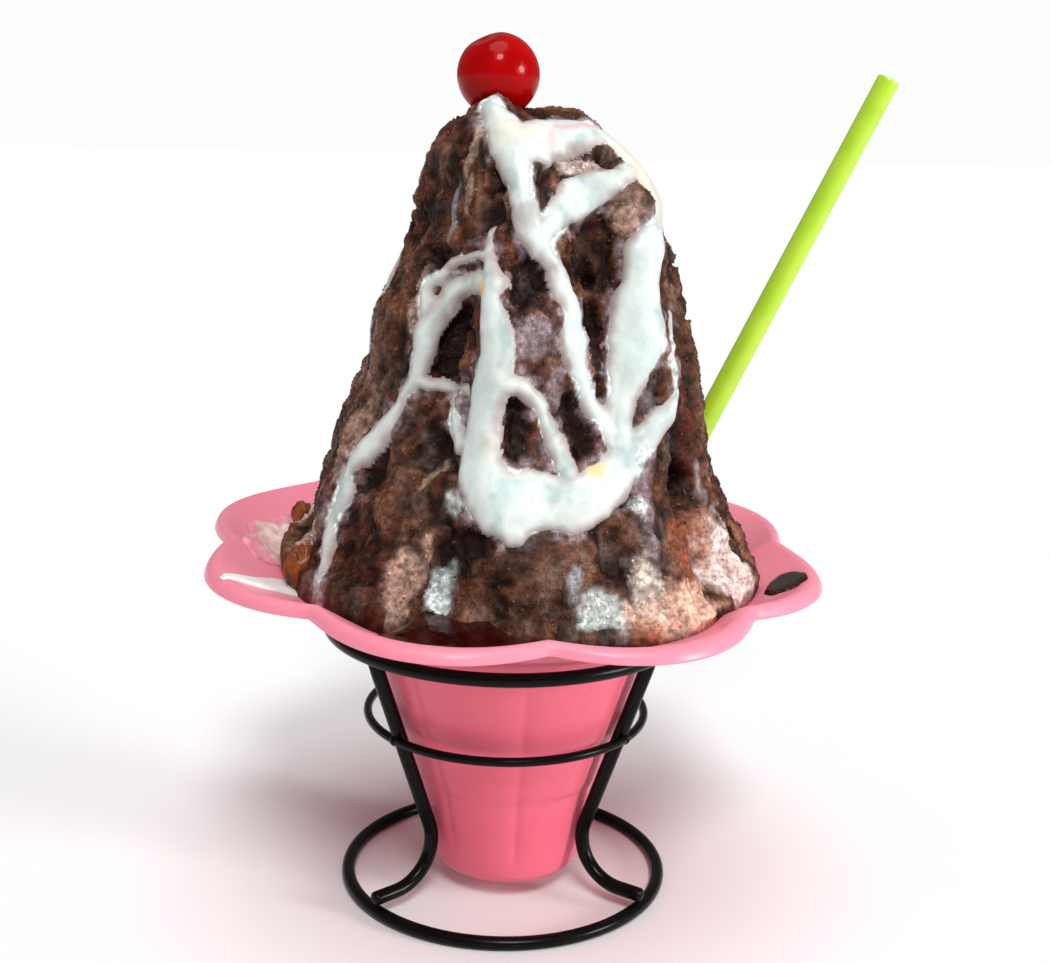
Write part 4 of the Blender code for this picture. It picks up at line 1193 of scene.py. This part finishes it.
# ---------------------------------------------------------------- stage

def add_floor(material):
    half = 20.0
    mesh = bpy.data.meshes.new("floor")
    mesh.from_pydata([(-half, -half, 0), (half, -half, 0), (half, half, 0), (-half, half, 0)], [], [(0, 1, 2, 3)])
    mesh.materials.append(material)
    floor = bpy.data.objects.new("floor", mesh)
    bpy.context.scene.collection.objects.link(floor)


def add_sun(name, azimuth, elevation, strength, spread):
    """A soft distant light; its strength is the share of white that it adds to a surface facing it."""
    data = bpy.data.lights.new(name, "SUN")
    data.energy = strength * math.pi
    data.angle = math.radians(spread)
    level = math.cos(math.radians(elevation))
    source = Vector((level * math.cos(math.radians(azimuth)), level * math.sin(math.radians(azimuth)),
                     math.sin(math.radians(elevation))))
    lamp = bpy.data.objects.new(name, data)
    lamp.rotation_euler = source.to_track_quat("Z", "Y").to_euler()
    bpy.context.scene.collection.objects.link(lamp)


def add_lights():
    add_sun("front_light", -82.0, 48.0, 0.52, 16.0)
    add_sun("top_light", -90.0, 82.0, 0.36, 40.0)
    add_sun("right_light", -22.0, 14.0, 0.62, 16.0)
    world = bpy.data.worlds.new("studio")
    world.use_nodes = True
    tree = world.node_tree
    glow = tree.nodes["Background"]
    glow.inputs["Color"].default_value = (1.0, 1.0, 1.0, 1.0)
    glow.inputs["Strength"].default_value = 0.22
    backdrop = tree.nodes.new("ShaderNodeBackground")
    backdrop.inputs["Color"].default_value = (1.0, 1.0, 1.0, 1.0)
    backdrop.inputs["Strength"].default_value = 0.98
    ray = tree.nodes.new("ShaderNodeLightPath")
    mix = tree.nodes.new("ShaderNodeMixShader")
    tree.links.new(ray.outputs["Is Camera Ray"], mix.inputs[0])
    tree.links.new(glow.outputs["Background"], mix.inputs[1])
    tree.links.new(backdrop.outputs["Background"], mix.inputs[2])
    tree.links.new(mix.outputs["Shader"], tree.nodes["World Output"].inputs["Surface"])
    bpy.context.scene.world = world


def add_camera():
    centre = HOLDER_FRAME.translation
    out = Vector((0.0, -math.cos(CAMERA_ELEVATION), math.sin(CAMERA_ELEVATION))) * CAMERA_DISTANCE
    level = math.cos(CAMERA_PITCH)
    forward = Vector((math.sin(CAMERA_YAW) * level, math.cos(CAMERA_YAW) * level, -math.sin(CAMERA_PITCH)))
    right = Vector((math.cos(CAMERA_YAW), -math.sin(CAMERA_YAW), 0.0))
    up = right.cross(forward)
    right, up = (right * math.cos(CAMERA_ROLL) + up * math.sin(CAMERA_ROLL),
                 up * math.cos(CAMERA_ROLL) - right * math.sin(CAMERA_ROLL))
    turned = Matrix((right, up, -forward)).transposed()
    data = bpy.data.cameras.new("camera")
    data.sensor_width = SENSOR_MM
    data.lens = SENSOR_MM * LENS_WIDTHS
    data.clip_start = 0.01
    camera = bpy.data.objects.new("camera", data)
    camera.matrix_world = Matrix.Translation(centre + out) @ turned.to_4x4()
    bpy.context.scene.collection.objects.link(camera)
    bpy.context.scene.camera = camera


def main():
    ice = make_ice_material()
    milk = make_milk_material()
    core = mound_core()
    heights = path_heights()
    lines = stroke_lines(core, heights)
    skin, tint, field = build_mound(core, heights, lines, ice)
    build_milk(core, heights, lines, milk)
    build_grains(skin, tint, field, make_grain_material())

    build_cup(make_cup_material())
    build_foot_syrup(core, heights, make_syrup_material("dark_syrup", (34, 1, 1), (54, 4, 3), 0.12))
    chocolate = make_syrup_material("chocolate_syrup", (34, 16, 10), (52, 27, 18), 0.14)
    build_flange_pool("petal_syrup", -14.5, 67.8, 7.4, 4.4, 1.2, chocolate, 91)
    build_flange_pool("pale_heap", 172.0, 57.5, 20.0, 8.0, 1.6, milk, 93, rough=0.6, tint=HEAP_PINK)
    build_petal_film(milk)
    amber = make_syrup_material("amber_ice", (84, 38, 14), (158, 86, 42), 0.34)
    build_lump("amber_lump_front", (-48.9, -20.8, -0.4), (4.1, 4.0, 6.0), 95, amber)
    build_lump("amber_lump_back", (-53.0, 13.0, 2.2), (2.8, 3.0, 3.2), 97, amber)

    build_cherry(make_cherry_material())
    build_straw(make_straw_material())
    build_holder(make_wire_material())

    add_floor(make_floor_material())
    add_lights()
    add_camera()
    bpy.context.scene.view_settings.view_transform = "Standard"


main()
